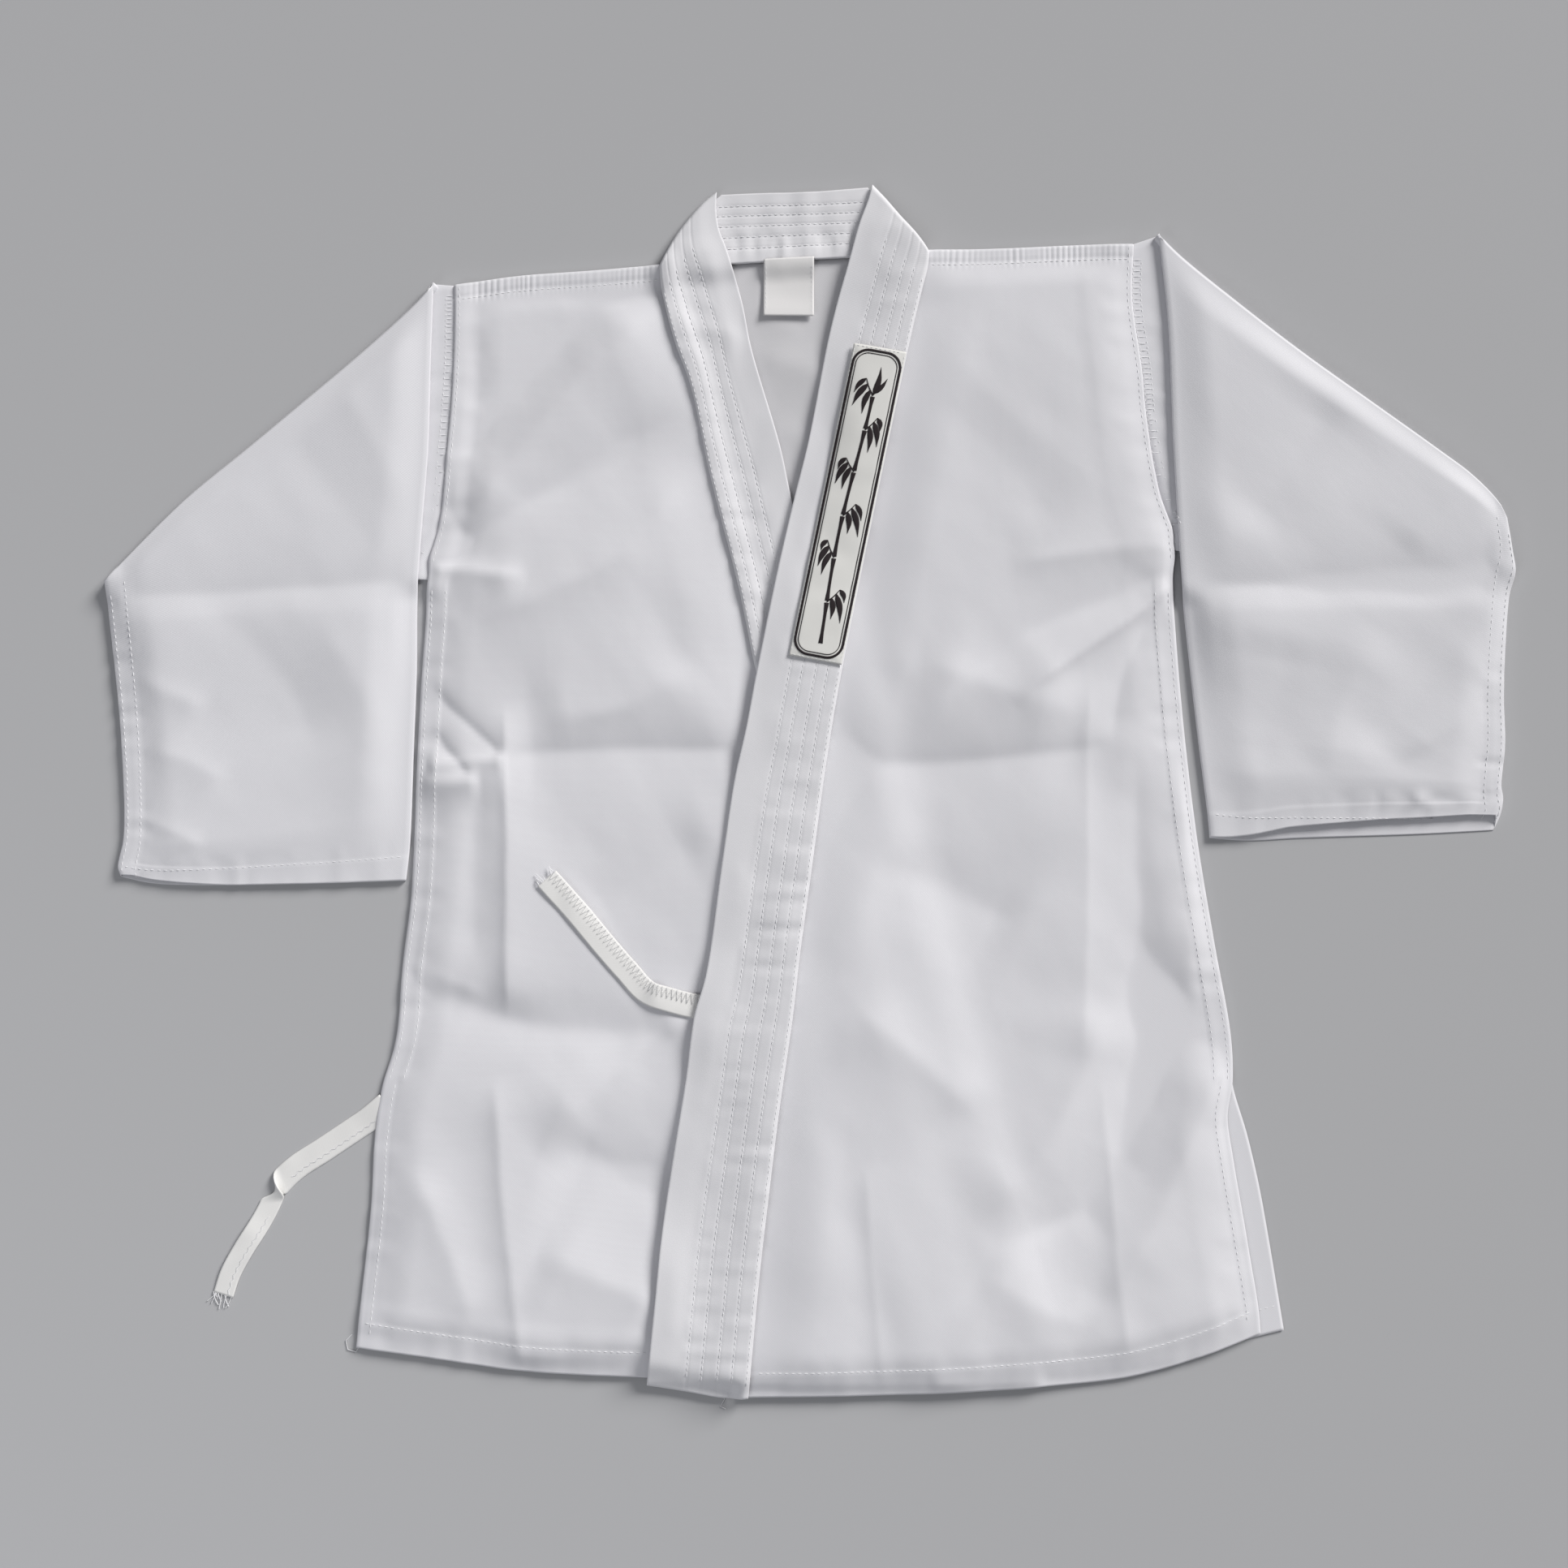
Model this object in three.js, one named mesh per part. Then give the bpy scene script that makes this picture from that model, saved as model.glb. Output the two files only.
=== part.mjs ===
// A child's karate gi jacket laid flat on its back, in millimetres.
// +X is the wearer's left, +Y is up the garment and +Z is up from the table.
// The fronts, lapels, ties and patch lie in layers on the back panel, and each
// sleeve is a flattened tube folded forward along a diagonal line.
import * as THREE from 'three';

// Cloth
const wall = 1.0;
const bandWall = 2.0;
const layerGap = 0.3;
const seamGap = 0.3;
const armholeGap = 0.5;

// Flattened sleeve: two walls round a thin hollow, folded over on itself
const sleeve = { hollow: 0.4, tip: 0.9, foldGap: 0.4, stepStart: 30, stepLength: 15 };
const sleeveHalf = wall + sleeve.hollow / 2;
const foldRadius = sleeveHalf + sleeve.foldGap / 2;

// The plan centre of the tables below becomes the origin
const origin = { x: 0, y: 0.7 };

// Grid steps of each kind of piece
const steps = {
  back: { across: 8, down: 28 },
  front: { across: 15, down: 34 },
  lapel: { across: 4, down: 34 },
  collar: { across: 8, down: 3 },
  patch: { across: 3, down: 14 },
  label: { across: 3, down: 3 },
  tie: { across: 2, down: 14 },
  sleeve: { across: 9, under: 4, fold: 4, over: 14 },
};

const table = (columns, rows) =>
  rows.map((row) => Object.fromEntries(columns.map((column, k) => [column, row[k]])));

// Shoulders, from the sleeve to the neck and on to the other sleeve
const shoulderLine = table(['x', 'y'], [
  [-172.2, 249.4], [-143, 253.8], [-109, 256.4], [-74, 259.4],
  [-22, 262], [22, 264.6], [59, 266.2], [97, 267.4], [155, 268.2],
]);
const neckRight = 3;
const neckLeft = 6;

// Armhole, side and vent edges, each from the shoulder to the hem
const rightSide = table(['x', 'y'], [
  [-172.2, 249.4], [-173, 198], [-178.6, 136], [-188, 104],
  [-190.6, 58], [-194.2, -14], [-200.2, -86], [-208.6, -140],
  [-215.6, -206], [-223, -274.2],
]);
const leftSide = table(['x', 'y'], [
  [155, 268.2], [156.6, 238], [163.5, 184], [179.2, 118],
  [179.2, 94], [183.8, 34], [191, -26], [199, -74], [207.6, -142],
  [206, -164], [213.4, -212], [221.8, -267.4],
]);
const backLeftSide = table(['x', 'y'], [
  [155, 268.2], [156.6, 238], [163.5, 184], [179.2, 118],
  [179.2, 94], [183.8, 34], [191, -26], [199, -74], [208, -142],
  [216.2, -170], [226.2, -218], [234.2, -265.8],
]);
const armpit = 3;

// Hems, from the wearer's right to the left
const backHem = table(['x', 'y'], [
  [-223, -274.2], [-143, -284], [-40, -288.6], [80, -287.6], [190, -276.8], [234.2, -265.8],
]);
const rightHem = table(['x', 'y'], [
  [-223, -274.2], [-191, -278.6], [-143, -285.4], [-83, -288.6], [64.2, -289.8],
]);
const leftHem = table(['x', 'y'], [
  [-30.2, -298], [37, -297], [109, -293.4], [157, -288.6], [193, -278.6], [221.8, -267.4],
]);

// Lapel bands: the edge sewn to the front and the free edge, from the neck to the hem
const rightSewn = table(['x', 'y'], [
  [-74, 259.4], [-72.6, 247], [-66.6, 222], [-58, 196], [-49, 156],
  [-34.6, 99], [-3.4, -30], [30.2, -160], [64.2, -289.8],
]);
const rightFree = table(['x', 'y'], [
  [-45.8, 295.8], [-44.6, 277], [-38.2, 258.6], [-28.6, 218], [-14.6, 170.6],
  [-8.6, 143.4], [25.8, 9.4], [54.6, -93.8], [111, -289.8],
]);
const leftSewn = table(['x', 'y'], [
  [59, 266.2], [55, 245.8], [49.4, 222.2], [15, 55], [8.2, 14.2],
  [1, -37.8], [-8.2, -109.8], [-19.4, -192.6], [-30.2, -298],
]);
const leftFree = table(['x', 'y'], [
  [31, 299.4], [24.6, 280.2], [13.8, 241.8], [-0.6, 173], [-15.4, 111],
  [-26.6, 56.6], [-37, 6.2], [-51, -89.8], [-61, -141.8], [-72.6, -217], [-80.2, -292.2],
]);
const rightBandEnd = table(['x', 'y'], [[64.2, -289.8], [88, -290.2], [111, -289.8]]);
const leftBandEnd = table(['x', 'y'], [[-80.2, -292.2], [-56, -296.4], [-30.2, -298]]);

// The band turns over at the neck along these two lines
const rightTurn = table(['x', 'y'], [
  [-74, 259.4], [-66.6, 273.8], [-58, 284.4], [-45.8, 295.8],
]);
const leftTurn = table(['x', 'y'], [
  [31, 299.4], [44.2, 284.6], [52.6, 275.8], [59, 266.2],
]);
const collarTop = table(['x', 'y'], [[-45.8, 295.8], [-9.8, 295.4], [31, 299.4]]);

// Sleeves: the turned-over fold, the edges of the upper stretch, the cuff and
// the underarm edge of the stretch beneath
const rightSleeve = {
  topEdge: table(['x', 'y'], [[-172.2, 249.4], [-183.6, 248.2]]),
  fold: table(['x', 'y'], [
    [-183.6, 248.2], [-219, 214.2], [-276.2, 166.2], [-319, 130], [-345.6, 101.6],
  ]),
  underarm: table(['x', 'y'], [[-188, 104], [-250, 102.6], [-310, 102], [-345.6, 101.6]]),
  inner: table(['x', 'y'], [
    [-183.6, 248.2], [-186.6, 166], [-191.4, 110], [-193.4, 58],
    [-196, -2], [-199.4, -43.8],
  ]),
  outer: table(['x', 'y'], [
    [-345.6, 101.6], [-341.4, 58], [-338.2, 10], [-338.6, -22], [-340.4, -43],
  ]),
  cuff: table(['x', 'y'], [[-199.4, -43.8], [-251, -45.4], [-323, -45.4], [-340.4, -43]]),
  stepAt: 102,
};
const leftSleeve = {
  topEdge: table(['x', 'y'], [[155, 268.2], [170.2, 272.2]]),
  fold: table(['x', 'y'], [
    [170.2, 272.2], [209.8, 238.4], [274.6, 190.6], [316, 160.4], [341.4, 132],
  ]),
  underarm: table(['x', 'y'], [[179.2, 118], [250, 104], [318, 106], [341.4, 132]]),
  inner: table(['x', 'y'], [
    [170.2, 272.2], [175, 230], [181.4, 118], [187.4, 58],
    [191.8, 22], [197.6, -23],
  ]),
  outer: table(['x', 'y'], [
    [341.4, 132], [346, 106], [342, 60], [342.4, 22], [341.6, -2], [338.6, -19],
  ]),
  cuff: table(['x', 'y'], [[197.6, -23], [241, -23.4], [301, -21.4], [338.6, -19]]),
  stepAt: 104,
};

// Small pieces, as the two long edges of each
const patchEdges = {
  left: table(['x', 'y'], [[22, 220.2], [-10.2, 67]]),
  right: table(['x', 'y'], [[47, 215.2], [14.6, 62.4]]),
};
const labelEdges = {
  left: table(['x', 'y'], [[-22.6, 261.2], [-22.8, 234.8]]),
  right: table(['x', 'y'], [[2.2, 262.6], [2, 234.6]]),
};
const frontTieEdges = {
  left: table(['x', 'y'], [[-40, -97.2], [-55, -99.4], [-76.4, -91.6], [-90, -76.4], [-124.6, -39]]),
  right: table(['x', 'y'], [[-42, -109.6], [-56.6, -111.8], [-80.4, -104.6], [-98, -87], [-133.8, -46.2]]),
};
const sideTieEdges = {
  left: table(['x', 'y'], [
    [-209.6, -146.6], [-225.4, -157.8], [-258, -182.2], [-276.2, -211.4], [-286.6, -225.8], [-294.6, -245.4],
  ]),
  right: table(['x', 'y'], [
    [-211.2, -161.6], [-223, -173.2], [-251, -191.4], [-266.6, -213], [-276.2, -228.2], [-282.2, -251],
  ]),
};

// Soft ridges where the cloth stands off the layer beneath, as lines in plan
const rightRidges = table(['x1', 'y1', 'x2', 'y2', 'height', 'spread'], [
  [-149, 18, -149, -88, 2.4, 9],
  [-151, -170, -145, -252, 1.6, 9],
  [-170, 112, -162, 96, 2.4, 10],
  [-96, 232, -156, 140, 2.0, 13],
  [-62, -114, -118, -160, 1.8, 14],
]);
const leftRidges = table(['x1', 'y1', 'x2', 'y2', 'height', 'spread'], [
  [137, 66, 136, -118, 2.4, 9],
  [166, 98, 142, 76, 2.0, 8],
  [160, 116, 134, 108, 1.6, 7],
  [150, -134, 102, -200, 2.4, 15],
  [188, -172, 164, -228, 2.0, 14],
]);

// Curves and grids

function curveThrough(rows) {
  const points = rows.map((row) => new THREE.Vector3(row.x, row.y, 0));
  const curve = new THREE.CatmullRomCurve3(points, false, 'centripetal');
  curve.arcLengthDivisions = 600;
  return curve;
}

// Part of a curve between two rows of its table, as a function of the share of its length
function stretch(rows, first = 0, last = rows.length - 1) {
  const curve = curveThrough(rows);
  const lengths = curve.getLengths();
  const lengthAt = (row) => {
    const entry = Math.round((row / (rows.length - 1)) * (lengths.length - 1));
    return lengths[entry] / lengths[lengths.length - 1];
  };
  const start = lengthAt(first);
  const end = lengthAt(last);
  return (share) => curve.getPointAt(start + (end - start) * share);
}

const moved = (edge, dx, dy) => (share) => edge(share).add(new THREE.Vector3(dx, dy, 0));

// A patch between four edges that meet at its corners
function patchBetween({ top, bottom, left, right }) {
  const corner = {
    topLeft: left(0), topRight: right(0), bottomLeft: left(1), bottomRight: right(1),
  };
  return (across, down) => {
    const point = new THREE.Vector3();
    point.addScaledVector(top(across), 1 - down);
    point.addScaledVector(bottom(across), down);
    point.addScaledVector(left(down), 1 - across);
    point.addScaledVector(right(down), across);
    point.addScaledVector(corner.topLeft, -(1 - across) * (1 - down));
    point.addScaledVector(corner.topRight, -across * (1 - down));
    point.addScaledVector(corner.bottomLeft, -(1 - across) * down);
    point.addScaledVector(corner.bottomRight, -across * down);
    return point;
  };
}

const straight = (from, to) => (share) => from.clone().lerp(to, share);

// A patch with two given long edges and straight ends
function stripBetween(left, right) {
  return patchBetween({
    left, right, top: straight(left(0), right(0)), bottom: straight(left(1), right(1)),
  });
}

function gridOf(patch, { across, down }) {
  const rows = [];
  for (let j = 0; j <= down; j += 1) {
    const row = [];
    for (let i = 0; i <= across; i += 1) row.push(patch(i / across, j / down));
    rows.push(row);
  }
  return rows;
}

// Height of the pile of cloth laid so far, kept on a fine plan grid
const pile = {
  cell: 2,
  halfWidth: 360,
  halfHeight: 320,
  heights: new Map(),
  key(i, j) {
    return i * 10000 + j;
  },
  index(x, y) {
    return {
      i: Math.round((x + this.halfWidth) / this.cell),
      j: Math.round((y + this.halfHeight) / this.cell),
    };
  },
  layTriangle(a, b, c) {
    const low = this.index(Math.min(a.x, b.x, c.x), Math.min(a.y, b.y, c.y));
    const high = this.index(Math.max(a.x, b.x, c.x), Math.max(a.y, b.y, c.y));
    const area = (b.x - a.x) * (c.y - a.y) - (c.x - a.x) * (b.y - a.y);
    const margin = (2 * this.cell) / Math.sqrt(Math.abs(area) + 1);
    for (let i = low.i - 1; i <= high.i + 1; i += 1) {
      for (let j = low.j - 1; j <= high.j + 1; j += 1) {
        const x = i * this.cell - this.halfWidth;
        const y = j * this.cell - this.halfHeight;
        const wb = ((x - a.x) * (c.y - a.y) - (c.x - a.x) * (y - a.y)) / area;
        const wc = ((b.x - a.x) * (y - a.y) - (x - a.x) * (b.y - a.y)) / area;
        const wa = 1 - wb - wc;
        if (Math.min(wa, wb, wc) < -margin) continue;
        const z = Math.min(wa * a.z + wb * b.z + wc * c.z, Math.max(a.z, b.z, c.z));
        const key = this.key(i, j);
        this.heights.set(key, Math.max(this.heights.get(key) ?? 0, z));
      }
    }
  },
  highest(xLow, xHigh, yLow, yHigh) {
    const low = this.index(xLow, yLow);
    const high = this.index(xHigh, yHigh);
    let z = 0;
    for (let i = low.i; i <= high.i; i += 1) {
      for (let j = low.j; j <= high.j; j += 1) z = Math.max(z, this.heights.get(this.key(i, j)) ?? 0);
    }
    return z;
  },
};

function ridgeHeight(ridges, point) {
  let height = 0;
  for (const ridge of ridges) {
    const start = new THREE.Vector2(ridge.x1, ridge.y1);
    const along = new THREE.Vector2(ridge.x2, ridge.y2).sub(start);
    const offset = new THREE.Vector2(point.x, point.y).sub(start);
    const share = THREE.MathUtils.clamp(offset.dot(along) / along.lengthSq(), 0, 1);
    const away = offset.distanceTo(along.multiplyScalar(share));
    height = Math.max(height, ridge.height * Math.exp(-((away / ridge.spread) ** 2)));
  }
  return height;
}

// Lays a grid on the pile: every point clears all that lies within its own cells
function layOnPile(grid, thickness, ridges = []) {
  const last = { i: grid[0].length - 1, j: grid.length - 1 };
  grid.forEach((row, j) => row.forEach((point, i) => {
    const near = [];
    for (let dj = -1; dj <= 1; dj += 1) {
      for (let di = -1; di <= 1; di += 1) {
        const ii = THREE.MathUtils.clamp(i + di, 0, last.i);
        const jj = THREE.MathUtils.clamp(j + dj, 0, last.j);
        near.push(grid[jj][ii]);
      }
    }
    const xs = near.map((p) => p.x);
    const ys = near.map((p) => p.y);
    const under = pile.highest(Math.min(...xs), Math.max(...xs), Math.min(...ys), Math.max(...ys));
    point.z = under > 0 ? under + layerGap : 0;
    point.z += ridgeHeight(ridges, point);
  }));
  const raised = grid.map((row) => row.map((point) => point.clone().setZ(point.z + thickness)));
  for (let j = 0; j < last.j; j += 1) {
    for (let i = 0; i < last.i; i += 1) {
      pile.layTriangle(raised[j][i], raised[j + 1][i], raised[j + 1][i + 1]);
      pile.layTriangle(raised[j][i], raised[j + 1][i + 1], raised[j][i + 1]);
    }
  }
  return { lower: grid, upper: raised };
}

// Solids

function meshFrom(name, points, faces, material) {
  const geometry = new THREE.BufferGeometry();
  geometry.setFromPoints(points.map((p) => new THREE.Vector3(p.x - origin.x, p.y - origin.y, p.z)));
  geometry.setIndex(faces.flat());
  geometry.computeVertexNormals();
  const mesh = new THREE.Mesh(geometry, material);
  mesh.name = name;
  return mesh;
}

// Closes the space between a lower and an upper grid, both with rows running down the garment
function panel(name, { lower, upper }, material) {
  const down = lower.length;
  const across = lower[0].length;
  const points = [...lower.flat(), ...upper.flat()];
  const below = (i, j) => j * across + i;
  const above = (i, j) => down * across + below(i, j);
  const faces = [];
  for (let j = 0; j < down - 1; j += 1) {
    for (let i = 0; i < across - 1; i += 1) {
      faces.push([above(i, j), above(i, j + 1), above(i + 1, j + 1)]);
      faces.push([above(i, j), above(i + 1, j + 1), above(i + 1, j)]);
      faces.push([below(i, j), below(i + 1, j + 1), below(i, j + 1)]);
      faces.push([below(i, j), below(i + 1, j), below(i + 1, j + 1)]);
    }
  }
  const rim = [];
  for (let j = 0; j < down - 1; j += 1) rim.push([0, j]);
  for (let i = 0; i < across - 1; i += 1) rim.push([i, down - 1]);
  for (let j = down - 1; j > 0; j -= 1) rim.push([across - 1, j]);
  for (let i = across - 1; i > 0; i -= 1) rim.push([i, 0]);
  rim.forEach((here, k) => {
    const next = rim[(k + 1) % rim.length];
    faces.push([above(...here), below(...here), below(...next)]);
    faces.push([above(...here), below(...next), above(...next)]);
  });
  return meshFrom(name, points, faces, material);
}

function laidPiece(name, patch, size, thickness, material, ridges) {
  return panel(name, layOnPile(gridOf(patch, size), thickness, ridges), material);
}

// One flattened sleeve as a tube of cloth, open at the armhole and the cuff.
// Its rows run from the shoulder side to the underarm side.
function sleeveMesh(name, cut, armhole, outward, material) {
  const { topEdge, fold, underarm, inner, outer, cuff, stepAt } = cut;
  const foldEdge = stretch(fold);
  const foldAlong = foldEdge(1).sub(foldEdge(0)).normalize();
  const foldOut = new THREE.Vector3(-foldAlong.y * outward, foldAlong.x * outward, 0);
  const reach = foldRadius + sleeveHalf;
  const inset = foldOut.clone().multiplyScalar(-reach);
  const insetFold = moved(foldEdge, inset.x, inset.y);
  const pulledIn = (edge, atStart, atEnd) => (share) => edge(share)
    .addScaledVector(inset, atStart * (1 - share) + atEnd * share);

  const under = patchBetween({
    top: moved(armhole, outward * -armholeGap, 0),
    bottom: insetFold,
    left: pulledIn(moved(stretch(topEdge), outward * -armholeGap, 0), 0, 1),
    right: pulledIn(moved(stretch(underarm), outward * -armholeGap, 0), 0, 1),
  });
  const over = patchBetween({
    top: insetFold,
    bottom: stretch(cuff),
    left: pulledIn(stretch(inner), 1, 0),
    right: pulledIn(stretch(outer), 1, 0),
  });

  const lowCentre = sleeveHalf;
  const highCentre = lowCentre + 2 * foldRadius;
  const overHeight = (y) => {
    const past = (stepAt - sleeve.stepStart - y) / sleeve.stepLength;
    return THREE.MathUtils.lerp(highCentre, lowCentre, THREE.MathUtils.smoothstep(past, 0, 1));
  };

  // Each ring gives the middle surface and the way towards the sleeve's one face
  const rings = [];
  const { across } = steps.sleeve;
  for (let k = 0; k <= steps.sleeve.under; k += 1) {
    rings.push((share) => ({
      centre: under(share, k / steps.sleeve.under).setZ(lowCentre),
      normal: new THREE.Vector3(0, 0, 1),
    }));
  }
  for (let k = 1; k < steps.sleeve.fold; k += 1) {
    const angle = (Math.PI * k) / steps.sleeve.fold;
    rings.push((share) => ({
      centre: insetFold(share)
        .addScaledVector(foldOut, foldRadius * Math.sin(angle))
        .setZ(lowCentre + foldRadius * (1 - Math.cos(angle))),
      normal: new THREE.Vector3(0, 0, Math.cos(angle)).addScaledVector(foldOut, -Math.sin(angle)),
    }));
  }
  for (let k = 0; k <= steps.sleeve.over; k += 1) {
    rings.push((share) => {
      const centre = over(share, k / steps.sleeve.over);
      return { centre: centre.setZ(overHeight(centre.y)), normal: new THREE.Vector3(0, 0, -1) };
    });
  }

  // The loop of one ring: from the shoulder tip along one face, and back along the other
  const loop = (ring, half, tipIn) => {
    const length = ring(0).centre.distanceTo(ring(1).centre);
    const tip = tipIn / length;
    const shares = [tip + sleeve.tip / length];
    for (let k = 1; k < across; k += 1) shares.push(k / across);
    shares.push(1 - tip - sleeve.tip / length);
    const side = (sign) => shares.map((share) => {
      const { centre, normal } = ring(share);
      return centre.addScaledVector(normal, sign * half);
    });
    return [ring(tip).centre, ...side(1), ring(1 - tip).centre, ...side(-1).reverse()];
  };
  const outsides = rings.map((ring) => loop(ring, sleeveHalf, 0));
  const insides = rings.map((ring) => loop(ring, sleeve.hollow / 2, wall + sleeve.hollow));

  const count = outsides[0].length;
  const points = [...outsides.flat(), ...insides.flat()];
  const out = (r, k) => r * count + (k % count);
  const into = (r, k) => (rings.length + r) * count + (k % count);
  const faces = [];
  const quad = (a, b, c, d) => {
    const ordered = outward < 0 ? [[a, b, c], [a, c, d]] : [[a, c, b], [a, d, c]];
    faces.push(...ordered);
  };
  const end = rings.length - 1;
  for (let k = 0; k < count; k += 1) {
    for (let r = 0; r < end; r += 1) {
      quad(out(r, k), out(r, k + 1), out(r + 1, k + 1), out(r + 1, k));
      quad(into(r, k), into(r + 1, k), into(r + 1, k + 1), into(r, k + 1));
    }
    quad(out(0, k), into(0, k), into(0, k + 1), out(0, k + 1));
    quad(out(end, k), out(end, k + 1), into(end, k + 1), into(end, k));
  }
  return meshFrom(name, points, faces, material);
}

// Materials
const cotton = new THREE.MeshStandardMaterial({ color: '#dfdfe8', roughness: 0.9, metalness: 0 });
const tape = new THREE.MeshStandardMaterial({ color: '#ecebea', roughness: 0.9, metalness: 0 });
const patchCloth = new THREE.MeshStandardMaterial({ color: '#e9e6de', roughness: 0.8, metalness: 0 });
const labelCloth = new THREE.MeshStandardMaterial({ color: '#e6e5e6', roughness: 0.7, metalness: 0 });

// Draws a patch sideways by a share of half a seam, to part it from its neighbour
const drawnIn = (patch, share) => (across, down) =>
  patch(across, down).add(new THREE.Vector3((share(across) * seamGap) / 2, 0, 0));

// Edges and patches of the pieces
const rightArmhole = stretch(rightSide, 0, armpit);
const leftArmhole = stretch(leftSide, 0, armpit);
const neckSeam = stretch(shoulderLine, neckRight, neckLeft);

const backPatch = patchBetween({
  top: stretch(shoulderLine),
  bottom: stretch(backHem),
  left: stretch(rightSide),
  right: stretch(backLeftSide),
});
const collarPatch = patchBetween({
  top: stretch(collarTop),
  bottom: moved(neckSeam, 0, seamGap),
  left: (share) => stretch(rightTurn)(1 - share).add(new THREE.Vector3(0, seamGap * share, 0)),
  right: (share) => stretch(leftTurn)(share).add(new THREE.Vector3(0, seamGap * share, 0)),
});
const rightFrontPatch = drawnIn(patchBetween({
  top: stretch(shoulderLine, 0, neckRight),
  bottom: stretch(rightHem),
  left: stretch(rightSide),
  right: stretch(rightSewn),
}), (across) => -across);
const leftFrontPatch = drawnIn(patchBetween({
  top: stretch(shoulderLine, neckLeft),
  bottom: stretch(leftHem),
  left: stretch(leftSewn),
  right: stretch(leftSide),
}), (across) => 1 - across);
const rightLapelPatch = drawnIn(patchBetween({
  top: stretch(rightTurn),
  bottom: stretch(rightBandEnd),
  left: stretch(rightSewn),
  right: stretch(rightFree),
}), () => 1);
const leftLapelPatch = drawnIn(patchBetween({
  top: stretch(leftTurn),
  bottom: stretch(leftBandEnd),
  left: stretch(leftFree),
  right: stretch(leftSewn),
}), () => -1);
const stripFrom = ({ left, right }) => stripBetween(stretch(left), stretch(right));

const model = new THREE.Group();
model.name = 'karate_gi_jacket';

// Pieces are laid from the bottom of the pile to the top
model.add(
  laidPiece('back_panel', backPatch, steps.back, wall, cotton),
  laidPiece('collar_back', collarPatch, steps.collar, bandWall, cotton),
  laidPiece('neck_label', stripFrom(labelEdges), steps.label, wall, labelCloth),
  laidPiece('right_front', rightFrontPatch, steps.front, wall, cotton, rightRidges),
  laidPiece('right_lapel', rightLapelPatch, steps.lapel, bandWall, cotton),
  laidPiece('front_tie', stripFrom(frontTieEdges), steps.tie, wall, tape),
  laidPiece('left_front', leftFrontPatch, steps.front, wall, cotton, leftRidges),
  laidPiece('left_lapel', leftLapelPatch, steps.lapel, bandWall, cotton),
  laidPiece('chest_patch', stripFrom(patchEdges), steps.patch, wall, patchCloth),
  laidPiece('side_tie', stripFrom(sideTieEdges), steps.tie, wall, tape),
  sleeveMesh('right_sleeve', rightSleeve, rightArmhole, 1, cotton),
  sleeveMesh('left_sleeve', leftSleeve, leftArmhole, -1, cotton),
);

export default model;
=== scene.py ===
import math
import bpy
import bmesh
import numpy as np
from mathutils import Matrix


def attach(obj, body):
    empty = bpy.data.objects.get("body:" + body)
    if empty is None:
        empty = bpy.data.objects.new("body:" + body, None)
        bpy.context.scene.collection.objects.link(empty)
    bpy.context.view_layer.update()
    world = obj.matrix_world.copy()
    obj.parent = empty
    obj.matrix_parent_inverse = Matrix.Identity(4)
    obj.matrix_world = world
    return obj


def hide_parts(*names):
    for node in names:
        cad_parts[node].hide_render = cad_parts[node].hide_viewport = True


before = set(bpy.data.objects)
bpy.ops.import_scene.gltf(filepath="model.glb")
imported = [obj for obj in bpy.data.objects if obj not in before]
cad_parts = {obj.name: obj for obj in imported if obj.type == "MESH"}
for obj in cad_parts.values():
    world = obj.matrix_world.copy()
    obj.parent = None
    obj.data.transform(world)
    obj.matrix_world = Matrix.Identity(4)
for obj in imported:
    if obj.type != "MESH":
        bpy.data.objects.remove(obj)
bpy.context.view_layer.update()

# A child's karate jacket laid flat. Plans and heights here are in millimetres,
# with x to the wearer's left, y up the garment and z up from the floor.
origin = np.array([0.0, 0.7, 0.0])
cloth = {"thick": 0.5, "gap": 0.35, "bandThick": 1.4, "sleeveHalf": 1.2, "edgeRound": 0.55, "fineCell": 1.0}
threadRadius = {"seam": 0.2, "band": 0.19, "loose": 0.17, "patch": 0.13, "label": 0.12}
# pitch and length of the stitches in a row
stitch = {"plain": (3.2, 2.5), "armhole": (2.6, 2.0), "shoulder": (2.8, 2.2), "collar": (2.9, 2.2),
          "lapel": (2.9, 2.3), "label": (2.4, 1.9), "patch": (2.2, 1.7)}


# Curves and patches
def edgeThrough(rows, first=0, last=None):
    # centripetal Catmull-Rom through the rows, kept as length share, x and y
    p = np.array(rows, float)
    last = len(p) - 1 if last is None else last
    q = np.vstack([2 * p[0] - p[1], p, 2 * p[-1] - p[-2]])
    t = np.linspace(0, 1, 31)[:, None]
    pieces = []
    for i in range(first, last):
        a, b, c, d = q[i:i + 4]
        knots = [math.sqrt(max(np.linalg.norm(n - m), 1e-6)) for m, n in ((a, b), (b, c), (c, d))]
        k = np.cumsum([0] + knots)
        s = k[1] + t * (k[2] - k[1])
        ab = a + (b - a) * (s - k[0]) / (k[1] - k[0])
        bc = b + (c - b) * (s - k[1]) / (k[2] - k[1])
        cd = c + (d - c) * (s - k[2]) / (k[3] - k[2])
        abc = ab + (bc - ab) * (s - k[0]) / (k[2] - k[0])
        bcd = bc + (cd - bc) * (s - k[1]) / (k[3] - k[1])
        pieces.append(abc + (bcd - abc) * (s - k[1]) / (k[2] - k[1]))
    line = np.vstack(pieces)
    length = np.concatenate([[0], np.cumsum(np.linalg.norm(np.diff(line, axis=0), axis=1))])
    return {"share": length / length[-1], "line": line, "length": length[-1]}


def along(edge, share):
    x = np.interp(share, edge["share"], edge["line"][:, 0])
    y = np.interp(share, edge["share"], edge["line"][:, 1])
    return np.stack([x, y], axis=-1)


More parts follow.
